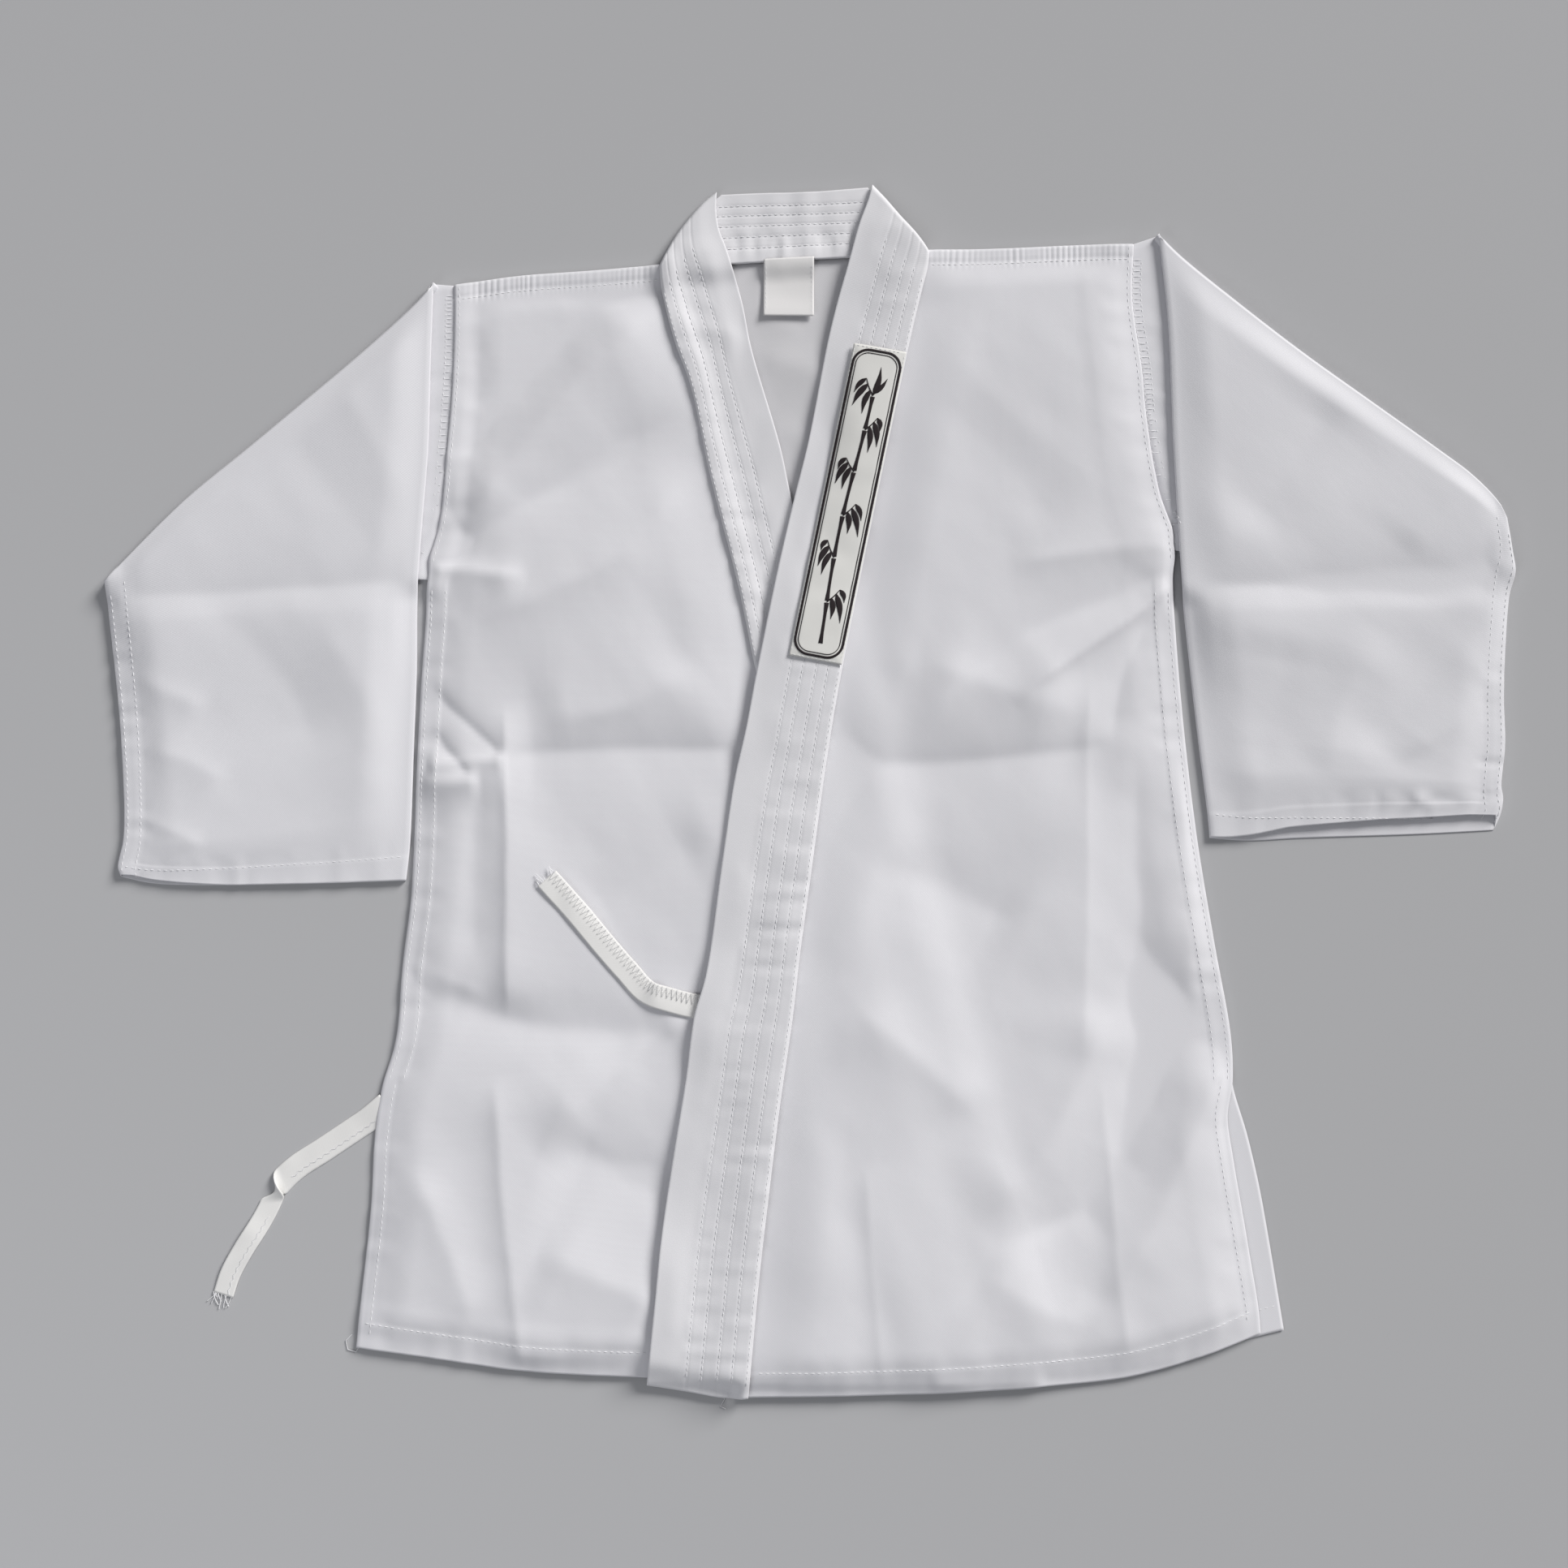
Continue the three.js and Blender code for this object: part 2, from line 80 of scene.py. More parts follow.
def shifted(edge, dx, dy=0.0):
    return {**edge, "line": edge["line"] + np.array([dx, dy])}


def between(edgeA, edgeB, end):
    # the straight end that joins two long edges
    pair = np.array([along(edgeA, end), along(edgeB, end)])
    return {"share": np.array([0.0, 1.0]), "line": pair, "length": np.linalg.norm(pair[1] - pair[0])}


def patchAt(patch, u, v):
    # a surface between four edges, at shares u across and v down
    top, bottom, left, right = (patch[k] for k in ("top", "bottom", "left", "right"))
    u3, v3 = u[..., None], v[..., None]
    point = along(top, u) * (1 - v3) + along(bottom, u) * v3
    point = point + along(left, v) * (1 - u3) + along(right, v) * u3
    point = point - along(left, 0.0) * (1 - u3) * (1 - v3) - along(right, 0.0) * u3 * (1 - v3)
    return point - along(left, 1.0) * (1 - u3) * v3 - along(right, 1.0) * u3 * v3


def strip(left, right):
    return {"left": left, "right": right,
            "top": between(left, right, 0.0), "bottom": between(left, right, 1.0)}


def sharesFor(length, cell, fineStart=0.0, fineEnd=0.0, fineCell=None):
    # steps of one cell, finer over the given lengths at both ends
    fineCell = fineCell or cloth["fineCell"]
    marks = [np.arange(0, fineStart, fineCell)] if fineStart else []
    middle = max(2, round((length - fineStart - fineEnd) / cell))
    marks.append(np.linspace(fineStart, length - fineEnd, middle + 1))
    if fineEnd:
        marks.append(length - np.arange(0, fineEnd, fineCell)[::-1])
    return np.unique(np.clip(np.concatenate(marks), 0, length)) / length


# Soft height shapes
def smooth(t):
    t = np.clip(t, 0, 1)
    return t * t * (3 - 2 * t)


def softNoise(x, y, cell, seed):
    # smooth random heights from -1 to 1 on a lattice of that cell
    table = np.random.default_rng(seed).uniform(-1, 1, (97, 97))
    gx, gy = x / cell + 40.3, y / cell + 40.7
    ix, iy = np.floor(gx).astype(int), np.floor(gy).astype(int)
    fx, fy = smooth(gx - ix), smooth(gy - iy)
    a, b = table[iy % 97, ix % 97], table[iy % 97, (ix + 1) % 97]
    c, d = table[(iy + 1) % 97, ix % 97], table[(iy + 1) % 97, (ix + 1) % 97]
    return (a * (1 - fx) + b * fx) * (1 - fy) + (c * (1 - fx) + d * fx) * fy


def creases(x, y, rows, crest=0.22, fadeShare=0.24, waver=1.0):
    # ridges and troughs from fold rows, with a sharper crest where crest is small
    total = np.zeros_like(x)
    warpX = x + waver * (2.4 * softNoise(x, y, 41, 901) + 0.8 * softNoise(x, y, 15, 902))
    warpY = y + waver * (2.4 * softNoise(x, y, 41, 903) + 0.8 * softNoise(x, y, 15, 904))
    for height, leftSpread, rightSpread, *points in rows:
        edge = edgeThrough(points)
        line = along(edge, np.linspace(0, 1, 2 if len(points) == 2 else 8))
        away, place, turn = np.full_like(x, 1e9), np.zeros_like(x), np.zeros_like(x)
        for k, ((ax, ay), (bx, by)) in enumerate(zip(line[:-1], line[1:])):
            dx, dy = bx - ax, by - ay
            t = np.clip(((warpX - ax) * dx + (warpY - ay) * dy) / (dx * dx + dy * dy), 0, 1)
            gap = np.hypot(warpX - ax - t * dx, warpY - ay - t * dy)
            closer = gap < away
            away = np.where(closer, gap, away)
            place = np.where(closer, (k + t) / (len(line) - 1), place)
            turn = np.where(closer, dx * (warpY - ay) - dy * (warpX - ax), turn)
        far = away / np.where(turn > 0, leftSpread, rightSpread)
        fade = smooth(place / fadeShare) * smooth((1 - place) / fadeShare)
        total += height * fade * np.exp(crest - np.sqrt(far * far + crest * crest))
    return total


def settled(rise, knee=0.4):
    # keeps a rise above the layer beneath without a hard edge where it comes down
    return np.where(rise > knee, rise, knee * np.exp(np.minimum(rise, knee) / knee - 1))


def crumple(x, y, seed, amount=1.0):
    # the faint creasing of pressed cotton that has been folded away
    turned = 0.8 * x + 0.6 * y
    across = -0.6 * x + 0.8 * y
    broad = 1.15 * softNoise(turned * 0.75, across, 66, seed)
    broad = broad + 0.5 * softNoise(turned, across * 0.7, 33, seed + 1)
    fine = 0.09 * softNoise(turned, across * 0.6, 11, seed + 2) + 0.02 * softNoise(x, y, 4.0, seed + 3)
    return amount * (broad + fine)


# The pile: height of the cloth laid so far, on a 1 mm plan grid
pile = {"x0": -372.0, "y0": -322.0, "map": np.zeros((645, 745))}


def pileIndex(x, y):
    ix = np.clip(np.rint(x - pile["x0"]).astype(int), 0, pile["map"].shape[1] - 1)
    iy = np.clip(np.rint(y - pile["y0"]).astype(int), 0, pile["map"].shape[0] - 1)
    return iy, ix


def sampleMap(field, x, y):
    gx = np.clip(x - pile["x0"], 0, field.shape[1] - 1.001)
    gy = np.clip(y - pile["y0"], 0, field.shape[0] - 1.001)
    ix, iy = gx.astype(int), gy.astype(int)
    fx, fy = gx - ix, gy - iy
    low = field[iy, ix] * (1 - fx) + field[iy, ix + 1] * fx
    high = field[iy + 1, ix] * (1 - fx) + field[iy + 1, ix + 1] * fx
    return low * (1 - fy) + high * fy


def stamp(points, rise):
    # adds a grid's upper side to the pile
    rows, cols = points.shape[:2]
    fine = []
    for axis, count in ((0, rows), (1, cols)):
        source = points if axis == 0 else fine[0]
        pos = np.linspace(0, count - 1, (count - 1) * 4 + 1)
        low = np.minimum(pos.astype(int), count - 2)
        part = (pos - low).reshape((-1, 1, 1) if axis == 0 else (1, -1, 1))
        a, b = np.take(source, low, axis=axis), np.take(source, low + 1, axis=axis)
        fine = [a * (1 - part) + b * part]
    dense = fine[0]
    np.maximum.at(pile["map"], pileIndex(dense[..., 0], dense[..., 1]), dense[..., 2] + rise)


def boxBlur(field, radius):
    for axis in (0, 1):
        padded = np.pad(field, [(radius + 1, radius) if k == axis else (0, 0) for k in (0, 1)], mode="edge")
        total = np.cumsum(padded, axis=axis)
        size = field.shape[axis]
        high = np.take(total, np.arange(2 * radius + 1, 2 * radius + 1 + size), axis=axis)
        low = np.take(total, np.arange(0, size), axis=axis)
        field = (high - low) / (2 * radius + 1)
    return field


def restingMap(reach=5):
    # the pile widened and then smoothed, so that it is nowhere lower than the pile
    field = pile["map"]
    for axis in (0, 1):
        wide = field.copy()
        for step in range(1, reach + 1):
            wide = np.maximum(wide, np.roll(field, step, axis=axis))
            wide = np.maximum(wide, np.roll(field, -step, axis=axis))
        field = wide
    first = reach // 2
    return boxBlur(boxBlur(field, first), reach - first)


# Meshes
def gridMesh(name, points, flat, tube=False, capped=False):
    # an operator's grid, moved to the given rows and columns of points
    rows, cols = points.shape[:2]
    bm = bmesh.new()
    bm.loops.layers.uv.new("flat")
    bmesh.ops.create_grid(bm, x_segments=cols - 1, y_segments=rows - 1, size=1.0)
    mesh = bpy.data.meshes.new(name)
    bm.to_mesh(mesh)
    bm.free()
    co = np.empty(len(mesh.vertices) * 3)
    mesh.vertices.foreach_get("co", co)
    co = co.reshape(-1, 3)
    ix = np.rint((co[:, 0] + 1) / 2 * (cols - 1)).astype(int)
    iy = np.rint((1 - co[:, 1]) / 2 * (rows - 1)).astype(int)
    mesh.vertices.foreach_set("co", ((points[iy, ix] - origin) / 1000).ravel())
    corner = np.empty(len(mesh.loops), int)
    mesh.loops.foreach_get("vertex_index", corner)
    mesh.uv_layers["flat"].data.foreach_set("uv", (flat[iy, ix][corner] / 1000).ravel())
    if tube:
        bm = bmesh.new()
        bm.from_mesh(mesh)
        bmesh.ops.remove_doubles(bm, verts=bm.verts, dist=2e-6)
        if capped:
            bmesh.ops.holes_fill(bm, edges=[e for e in bm.edges if e.is_boundary], sides=0)
        bmesh.ops.recalc_face_normals(bm, faces=bm.faces)
        lowest = min(bm.faces, key=lambda face: face.calc_center_median().z)
        if lowest.normal.z > 0:
            bmesh.ops.reverse_faces(bm, faces=bm.faces)
        bm.to_mesh(mesh)
        bm.free()
    mesh.polygons.foreach_set("use_smooth", [True] * len(mesh.polygons))
    mesh.update()
    return mesh


def addPiece(name, mesh, material, nodes=(), thick=0.0, offset=1.0):
    piece = bpy.data.objects.new(name, mesh)
    bpy.context.scene.collection.objects.link(piece)
    mesh.materials.append(material)
    if thick:
        wall = piece.modifiers.new("wall", "SOLIDIFY")
        wall.thickness = thick / 1000
        wall.offset = offset
        wall.use_quality_normals = True
    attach(piece, "root")
    if nodes:
        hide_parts(*nodes)
    return piece


def threadMesh(name, lines, radius, material, sides=0):
    # thin thread along many short lines of points
    curve = bpy.data.curves.new(name, "CURVE")
    curve.dimensions = "3D"
    curve.bevel_depth = radius / 1000
    curve.bevel_resolution = sides
    curve.use_fill_caps = True
    for line in lines:
        spline = curve.splines.new("POLY")
        spline.points.add(len(line) - 1)
        flat = np.hstack([(np.asarray(line) - origin) / 1000, np.ones((len(line), 1))])
        spline.points.foreach_set("co", flat.ravel())
    source = bpy.data.objects.new(name + "Curve", curve)
    bpy.context.scene.collection.objects.link(source)
    bpy.context.view_layer.update()
    mesh = bpy.data.meshes.new_from_object(source.evaluated_get(bpy.context.evaluated_depsgraph_get()))
    bpy.data.objects.remove(source)
    mesh.name = name
    mesh.materials.clear()
    addPiece(name, mesh, material)


def stitchLines(path, seed, kind="plain", lift=0.12):
    # short stitches along a plan path, each dipping into the cloth at both ends
    pitch, length = stitch[kind]
    path = np.asarray(path, float)
    walked = np.concatenate([[0], np.cumsum(np.linalg.norm(np.diff(path, axis=0), axis=1))])
    wobble = np.random.default_rng(seed)
    lines = []
    for start in np.arange(0.6, walked[-1] - length, pitch):
        at = start + np.array([0, length / 2, length]) + wobble.uniform(-0.15, 0.15)
        x = np.interp(at, walked, path[:, 0]) + wobble.uniform(-0.06, 0.06)
        y = np.interp(at, walked, path[:, 1])
        z = np.maximum(sampleMap(pile["map"], x, y) + np.array([-0.3, lift, -0.3]), 0.25)
        lines.append(np.stack([x, y, z], axis=-1))
    return lines


def pathInPatch(patch, u, v):
    u, v = np.broadcast_arrays(np.asarray(u, float), np.asarray(v, float))
    return patchAt(patch, u, v)


# Finishes
def newGroup(name, inputs, outputs):
    group = bpy.data.node_groups.new(name, "ShaderNodeTree")
    for label, value in inputs:
        socket = group.interface.new_socket(label, in_out="INPUT", socket_type="NodeSocketFloat")
        socket.default_value = value
    for label, kind in outputs:
        group.interface.new_socket(label, in_out="OUTPUT", socket_type=kind)
    return group, group.nodes.new("NodeGroupInput"), group.nodes.new("NodeGroupOutput")


def mathNode(tree, kind, a, b=None):
    node = tree.nodes.new("ShaderNodeMath")
    node.operation = kind
    for socket, value in zip(node.inputs, (a, b)):
        if isinstance(value, (int, float)):
            socket.default_value = value
        elif value is not None:
            tree.links.new(value, socket)
    return node.outputs[0]


def twillGroup():
    # slanting ribs of a fine twill with crossing yarns, in the cloth's own flat plan
    group, given, out = newGroup(
        "twillWeave", [("Ribs", 760.0), ("Depth", 1.0)],
        [("Height", "NodeSocketFloat"), ("Tone", "NodeSocketFloat")])
    link = group.links.new
    uv = group.nodes.new("ShaderNodeUVMap")
    uv.uv_map = "flat"
    ribs = group.nodes.new("ShaderNodeTexWave")
    ribs.bands_direction = "DIAGONAL"
    ribs.inputs["Distortion"].default_value = 1.4
    ribs.inputs["Detail"].default_value = 1.0
    ribs.inputs["Detail Scale"].default_value = 1.5
    link(uv.outputs["UV"], ribs.inputs["Vector"])
    link(given.outputs["Ribs"], ribs.inputs["Scale"])
    yarns = group.nodes.new("ShaderNodeTexNoise")
    yarns.inputs["Scale"].default_value = 1500.0
    yarns.inputs["Detail"].default_value = 2.0
    link(uv.outputs["UV"], yarns.inputs["Vector"])
    slubs = group.nodes.new("ShaderNodeTexNoise")
    slubs.inputs["Scale"].default_value = 260.0
    slubs.inputs["Detail"].default_value = 3.0
    link(uv.outputs["UV"], slubs.inputs["Vector"])
    woven = mathNode(group, "ADD", mathNode(group, "MULTIPLY", ribs.outputs["Fac"], 0.5),
                     mathNode(group, "MULTIPLY", yarns.outputs["Fac"], 0.5))
    height = mathNode(group, "ADD", woven, mathNode(group, "MULTIPLY", slubs.outputs["Fac"], 0.5))
    link(mathNode(group, "MULTIPLY", height, given.outputs["Depth"]), out.inputs["Height"])
    link(woven, out.inputs["Tone"])
    return group


def wearGroup():
    # slow changes of shade from washing and from the creases of folding
    group, given, out = newGroup("washedShade", [("Amount", 0.06)], [("Shade", "NodeSocketFloat")])
    link = group.links.new
    place = group.nodes.new("ShaderNodeTexCoord")
    broad = group.nodes.new("ShaderNodeTexNoise")
    broad.inputs["Scale"].default_value = 9.0
    broad.inputs["Detail"].default_value = 5.0
    broad.inputs["Roughness"].default_value = 0.62
    link(place.outputs["Object"], broad.inputs["Vector"])
    centred = mathNode(group, "SUBTRACT", broad.outputs["Fac"], 0.5)
    link(mathNode(group, "ADD", mathNode(group, "MULTIPLY", centred, given.outputs["Amount"]), 1.0),
         out.inputs["Shade"])
    return group


twill = twillGroup()
washed = wearGroup()


clothLook = {"toneDepth": 0.045, "wear": 0.07, "sheenRoughness": 0.6, "specular": 0.25, "bump": 0.2,
             "bumpDistance": 0.0003}


def clothMaterial(name, colour, ribs=760.0, depth=1.0, roughness=0.88, sheen=0.2):
    material = bpy.data.materials.new(name)
    material.use_nodes = True
    tree = material.node_tree
    shader = tree.nodes["Principled BSDF"]
    shader.inputs["Roughness"].default_value = roughness
    shader.inputs["Sheen Weight"].default_value = sheen
    shader.inputs["Sheen Roughness"].default_value = clothLook["sheenRoughness"]
    shader.inputs["Specular IOR Level"].default_value = clothLook["specular"]
    weave = tree.nodes.new("ShaderNodeGroup")
    weave.node_tree = twill
    weave.inputs["Ribs"].default_value = ribs
    weave.inputs["Depth"].default_value = depth
    shade = tree.nodes.new("ShaderNodeGroup")
    shade.node_tree = washed
    shade.inputs["Amount"].default_value = clothLook["wear"]
    tone = mathNode(tree, "SUBTRACT", weave.outputs["Tone"], 0.55)
    tone = mathNode(tree, "MULTIPLY", tone, clothLook["toneDepth"])
    level = mathNode(tree, "MULTIPLY", mathNode(tree, "ADD", tone, 1.0), shade.outputs["Shade"])
    scaled = tree.nodes.new("ShaderNodeVectorMath")
    scaled.operation = "SCALE"
    scaled.inputs[0].default_value = colour
    tree.links.new(level, scaled.inputs["Scale"])
    tree.links.new(scaled.outputs[0], shader.inputs["Base Color"])
    bump = tree.nodes.new("ShaderNodeBump")
    bump.inputs["Strength"].default_value = clothLook["bump"]
    bump.inputs["Distance"].default_value = clothLook["bumpDistance"]
    tree.links.new(weave.outputs["Height"], bump.inputs["Height"])
    tree.links.new(bump.outputs["Normal"], shader.inputs["Normal"])
    return material


cottonWhite = clothMaterial("jacketCotton", (0.735, 0.728, 0.757))
# a darker copy of the jacket cotton, as painted shade for the back panel's inner face seen in the neck
cottonPaintedShade = clothMaterial("jacketCottonPaintedShade", (0.63, 0.622, 0.64))
bandWhite = clothMaterial("bandCotton", (0.75, 0.742, 0.765))
tapeCream = clothMaterial("tieTape", (0.8, 0.79, 0.775), ribs=620.0, depth=0.5)
labelWhite = clothMaterial("labelCloth", (0.78, 0.765, 0.76), ribs=1400.0, depth=0.3, roughness=0.6,
                           sheen=0.3)
patchCream = clothMaterial("patchCloth", (0.765, 0.755, 0.725), ribs=1100.0, depth=0.5, roughness=0.75)
patchInk = clothMaterial("patchInk", (0.018, 0.012, 0.014), ribs=1100.0, depth=0.5, roughness=0.7, sheen=0.05)
threadWhite = clothMaterial("sewingThread", (0.84, 0.835, 0.85), ribs=2200.0, depth=0.4, roughness=0.7,
                            sheen=0.3)
print("finishes ready")


# Laying a sheet of cloth on the pile
def restAt(plan, v, length, reach, settle):
    # the resting height, closer to the pile near the lower end, past what the cloth lies on
    rest = sampleMap(restingMap(reach), plan[..., 0], plan[..., 1])
    if settle:
        close = sampleMap(restingMap(3), plan[..., 0], plan[..., 1])
        rest = rest + settle["share"] * (close - rest) * smooth(1.2 - (1 - v) * length / settle["over"])
    return rest


def laySheet(name, patch, us, vs, relief, material, nodes, curl=None, thick=None, onFloor=False,
             flatTurn=0.0, reach=5, settle=None):
    thick = cloth["thick"] if thick is None else thick
    u, v = np.meshgrid(us, vs)
    plan = patchAt(patch, u, v)
    below = pile["map"].copy()
    rest = restAt(plan, v, patch["left"]["length"], reach, settle)
    z = 0.05 + relief(plan, u, v) if onFloor else rest + cloth["gap"] + relief(plan, u, v)
    points = np.dstack([plan, z])
    stamp(points, thick)
    if curl:
        points = curlEdges(points, below, **curl)
    turn = math.radians(flatTurn)
    flat = points[..., :2] @ np.array([[math.cos(turn), math.sin(turn)], [-math.sin(turn), math.cos(turn)]])
    mesh = gridMesh(name, points, flat)
    return addPiece(name, mesh, material, nodes, thick=thick), points


def curlEdges(points, below, side=0, top=False, joined=None):
    # turns the outermost column and row down to the layer beneath
    steps = ((0.15, 0.2), (0.28, 0.6), (0.32, 1.0))
    if side:
        edge = points[:, -1 if side > 0 else 0]
        hold = joined(edge[:, 1])
        target = sampleMap(below, edge[:, 0] + side * 1.6, edge[:, 1]) + 0.12
        extra = []
        for out, share in steps:
            column = edge.copy()
            column[:, 0] += side * out
            column[:, 2] -= hold * share * np.maximum(edge[:, 2] - target, 0) + 0.01
            extra.append(column[:, None])
        order = [points] + extra if side > 0 else extra[::-1] + [points]
        points = np.concatenate(order, axis=1)
    if top:
        edge = points[0]
        extra = []
        for out, share in steps:
            row = edge.copy()
            row[:, 1] += out
            row[:, 2] -= share * (edge[:, 2] - 0.35)
            extra.insert(0, row[None])
        points = np.concatenate(extra + [points], axis=0)
    return points


def sectionLoop(half, inner):
    # round a flat band: share across, shift in from its edges and level from -1 to 1
    half = half * cloth["edgeRound"]
    turn = np.radians([0, 30, 60])
    shiftIn, rise = half * (1 - np.cos(turn)), np.sin(turn)
    mid = np.linspace(0, 1, inner)
    flatShift = half * (1 - 2 * mid)
    share = [0, 0, 0, *mid, 1, 1, 1, 1, 1, *mid[::-1], 0, 0, 0]
    shift = [*shiftIn, *flatShift, *-shiftIn[::-1], *-shiftIn[1:], *flatShift[::-1], *shiftIn[::-1]]
    level = [*rise, *np.ones(inner), *rise[::-1], *-rise[1:], *-np.ones(inner), *-rise[::-1]]
    return np.array(share, float), np.array(shift, float), np.array(level, float)


def layBand(name, patch, vs, inner, relief, material, nodes, roll=0.0, thinAt=None, reach=5,
            settle=None):
    # a doubled band of cloth with rounded edges, laid on the pile, and thinner at its sewn side
    half = cloth["bandThick"] / 2
    share, shift, level = sectionLoop(half, inner)
    width = np.linalg.norm(along(patch["right"], vs) - along(patch["left"], vs), axis=1)[:, None]
    u = share[None, :] + shift[None, :] / width
    v = np.repeat(vs[:, None], len(share), axis=1)
    plan = patchAt(patch, u, v)
    rest = restAt(plan, v, patch["left"]["length"], reach, settle) + cloth["gap"]
    lift = relief(plan, u, v, width)
    fromSewn = np.abs(u - thinAt) * width if thinAt is not None else np.full_like(u, 99.0)
    rest = rest - 0.22 * (1 - smooth(fromSewn / 2))
    halfHere = half * (0.55 + 0.45 * smooth(fromSewn / 2))
    z = rest + halfHere + level[None, :] * halfHere + np.clip(level, 0, 1)[None, :] * lift
    if roll:
        # the first rows turn down over the neck fold
        down = (1 - smooth(v * patch["left"]["length"] / roll)) ** 1.5
        z = z - down * (z - 0.6) * np.where(level > 0, 0.5, 0.6)[None, :]
    points = np.dstack([plan, z])
    stamp(points[:, :len(share) // 2 + 1], 0.0)
    flat = np.dstack([u * width, v * patch["left"]["length"]])
    mesh = gridMesh(name, points, flat, tube=True, capped=True)
    return addPiece(name, mesh, material, nodes), points


# Edges shared by several pieces, as in the cutting plan
shoulders = [(-172.2, 249.4), (-143, 253.8), (-109, 256.4), (-74, 259.4), (-22, 262), (22, 264.6),
             (59, 266.2), (97, 267.4), (133, 269), (157, 269.4)]
rightSide = [(-172.2, 249.4), (-172.2, 230.2), (-173.4, 198.2), (-176.2, 166.2), (-179.4, 134.2),
             (-187.6, 104.4), (-188.6, 86), (-190.6, 58.2), (-192.6, 22.2), (-195.8, -49.8),
             (-200.2, -85.8), (-203.4, -121.8), (-210.2, -145.8), (-213.8, -169.8), (-215.8, -205.8),
             (-221, -253.8), (-223, -274.2)]
leftSide = [(157, 269.4), (156.4, 242), (161, 209), (163.5, 183.5), (169.7, 148), (179.4, 119),
            (178.6, 106), (180.6, 70.2), (185, 22.2), (191, -25.8), (199, -73.8), (207.4, -121.8),
            (208, -143), (205.4, -160), (208, -180), (213, -209), (217, -232.6), (220.6, -254.6),
            (221.8, -267.4)]
backLeftSide = leftSide[:12] + [(208.6, -143), (216.2, -169.8), (221.8, -193.8), (226.2, -217.8),
                                (234.2, -265.8)]
armpit = 5
neckRight, neckLeft = 3, 6
rightHem = [(-223, -274.2), (-191, -278.6), (-167, -282.2), (-143, -285.4), (-83, -288.6), (64.2, -289.8)]
leftHem = [(-30.2, -298), (37, -297), (109, -293.4), (157, -288.6), (193, -278.6), (221.8, -267.4)]
backHem = [(-222, -272), (-143, -283), (-40, -287.6), (80, -286.6), (190, -275.8), (234.2, -265.8)]
rightSewn = [(-74, 259.4), (-73, 248.2), (-66.6, 222.2), (-58.6, 199.8), (-49, 155.8), (-34.6, 99),
             (-26.6, 60.2), (-3.4, -30), (30.2, -160), (64.2, -289.8)]
rightFree = [(-45.8, 295.8), (-46, 286), (-44.6, 277), (-41, 267.4), (-33.4, 241.8), (-28.6, 218.2),
             (-14.6, 170.6), (-8.6, 143.4), (25.8, 9.4), (54.6, -93.8), (111, -289.8)]
leftSewn = [(59, 266.2), (58.2, 258.6), (55, 245.8), (49.4, 222.2), (15, 55), (8.2, 14.2), (1, -37.8),
            (-5, -81.8), (-8.2, -109.8), (-15, -157), (-19.4, -192.6), (-24.6, -237.4), (-30.2, -298.4)]
leftFree = [(31, 299.4), (28.6, 291), (24.6, 280.2), (18.6, 258.6), (13.8, 241.8), (9, 222.2),
            (-0.6, 173), (-7.4, 145.4), (-15.4, 111), (-26.6, 56.6), (-31.4, 31), (-37, 6.2),
            (-43, -33.8), (-51, -89.8), (-56.6, -109.8), (-61, -141.8), (-67.4, -181.4), (-72.6, -217),
            (-76.2, -252.6), (-80.2, -292.2)]
rightTurn = [(-74, 259.4), (-70.6, 266.2), (-66.2, 273.8), (-60.2, 281.8), (-51.8, 291), (-45.8, 295.8)]
leftTurn = [(31, 299.4), (37.4, 292.6), (44.2, 284.6), (52.2, 275.8), (56.6, 270), (59, 266.2)]


# Back panel, flat on the floor, with its inner face showing in the neck and past the vent
backPanel = {"ventTop": -143.0, "ventHem": 13.0, "hem": 14.0, "cell": 3.6}
backPatch = {"top": edgeThrough(shoulders), "bottom": edgeThrough(backHem),
             "left": edgeThrough(rightSide), "right": edgeThrough(backLeftSide)}
backCreases = [(1.6, 9, 14, (-34, 222), (6, 208), (44, 214)), (1.0, 8, 12, (-24, 180), (20, 168)),
               (0.6, 5, 8, (-34, 244), (-4, 226))]


def backRelief(plan, u, v):
    x, y = plan[..., 0], plan[..., 1]
    edgeRight = along(backPatch["right"], v)[..., 0] - x
    edgeHem = y - along(backPatch["bottom"], u)[..., 1]
    below = smooth((backPanel["ventTop"] - y) / 14)
    ventBand = below * smooth((backPanel["ventHem"] - edgeRight) / 1.4)
    band = np.maximum(ventBand, smooth((backPanel["hem"] - edgeHem) / 1.4))
    inNeck = smooth((y - 120) / 30) * smooth((62 - np.abs(x - 4)) / 20)
    return 0.5 * band + inNeck * np.clip(0.5 + creases(x, y, backCreases) + 0.4 * crumple(x, y, 11), 0, 3)


backUs = sharesFor(420, backPanel["cell"], 0, 16, 1.4)
backVs = sharesFor(540, backPanel["cell"], 0, 16, 1.4)
back, _ = laySheet("backPanel", backPatch, backUs, backVs, backRelief, cottonPaintedShade,
                   ["back_panel"], onFloor=True)
# painted shade: the upper half, seen inside the neck, takes the darker copy of the cotton; the lower half,
# whose vent flap shows, is as white as the fronts
back.data.materials.append(cottonWhite)
for face in back.data.polygons:
    face.material_index = 1 if face.center.y < 0 else 0
ventPath = along(backPatch["right"], np.linspace(0.762, 0.975, 60)) - np.array([backPanel["ventHem"] - 1, 0])
hemPath = along(backPatch["bottom"], np.linspace(0.9, 0.995, 30)) + np.array([0, backPanel["hem"] - 1])
backStitches = stitchLines(ventPath, 21) + stitchLines(hemPath, 22)
print("back panel laid")


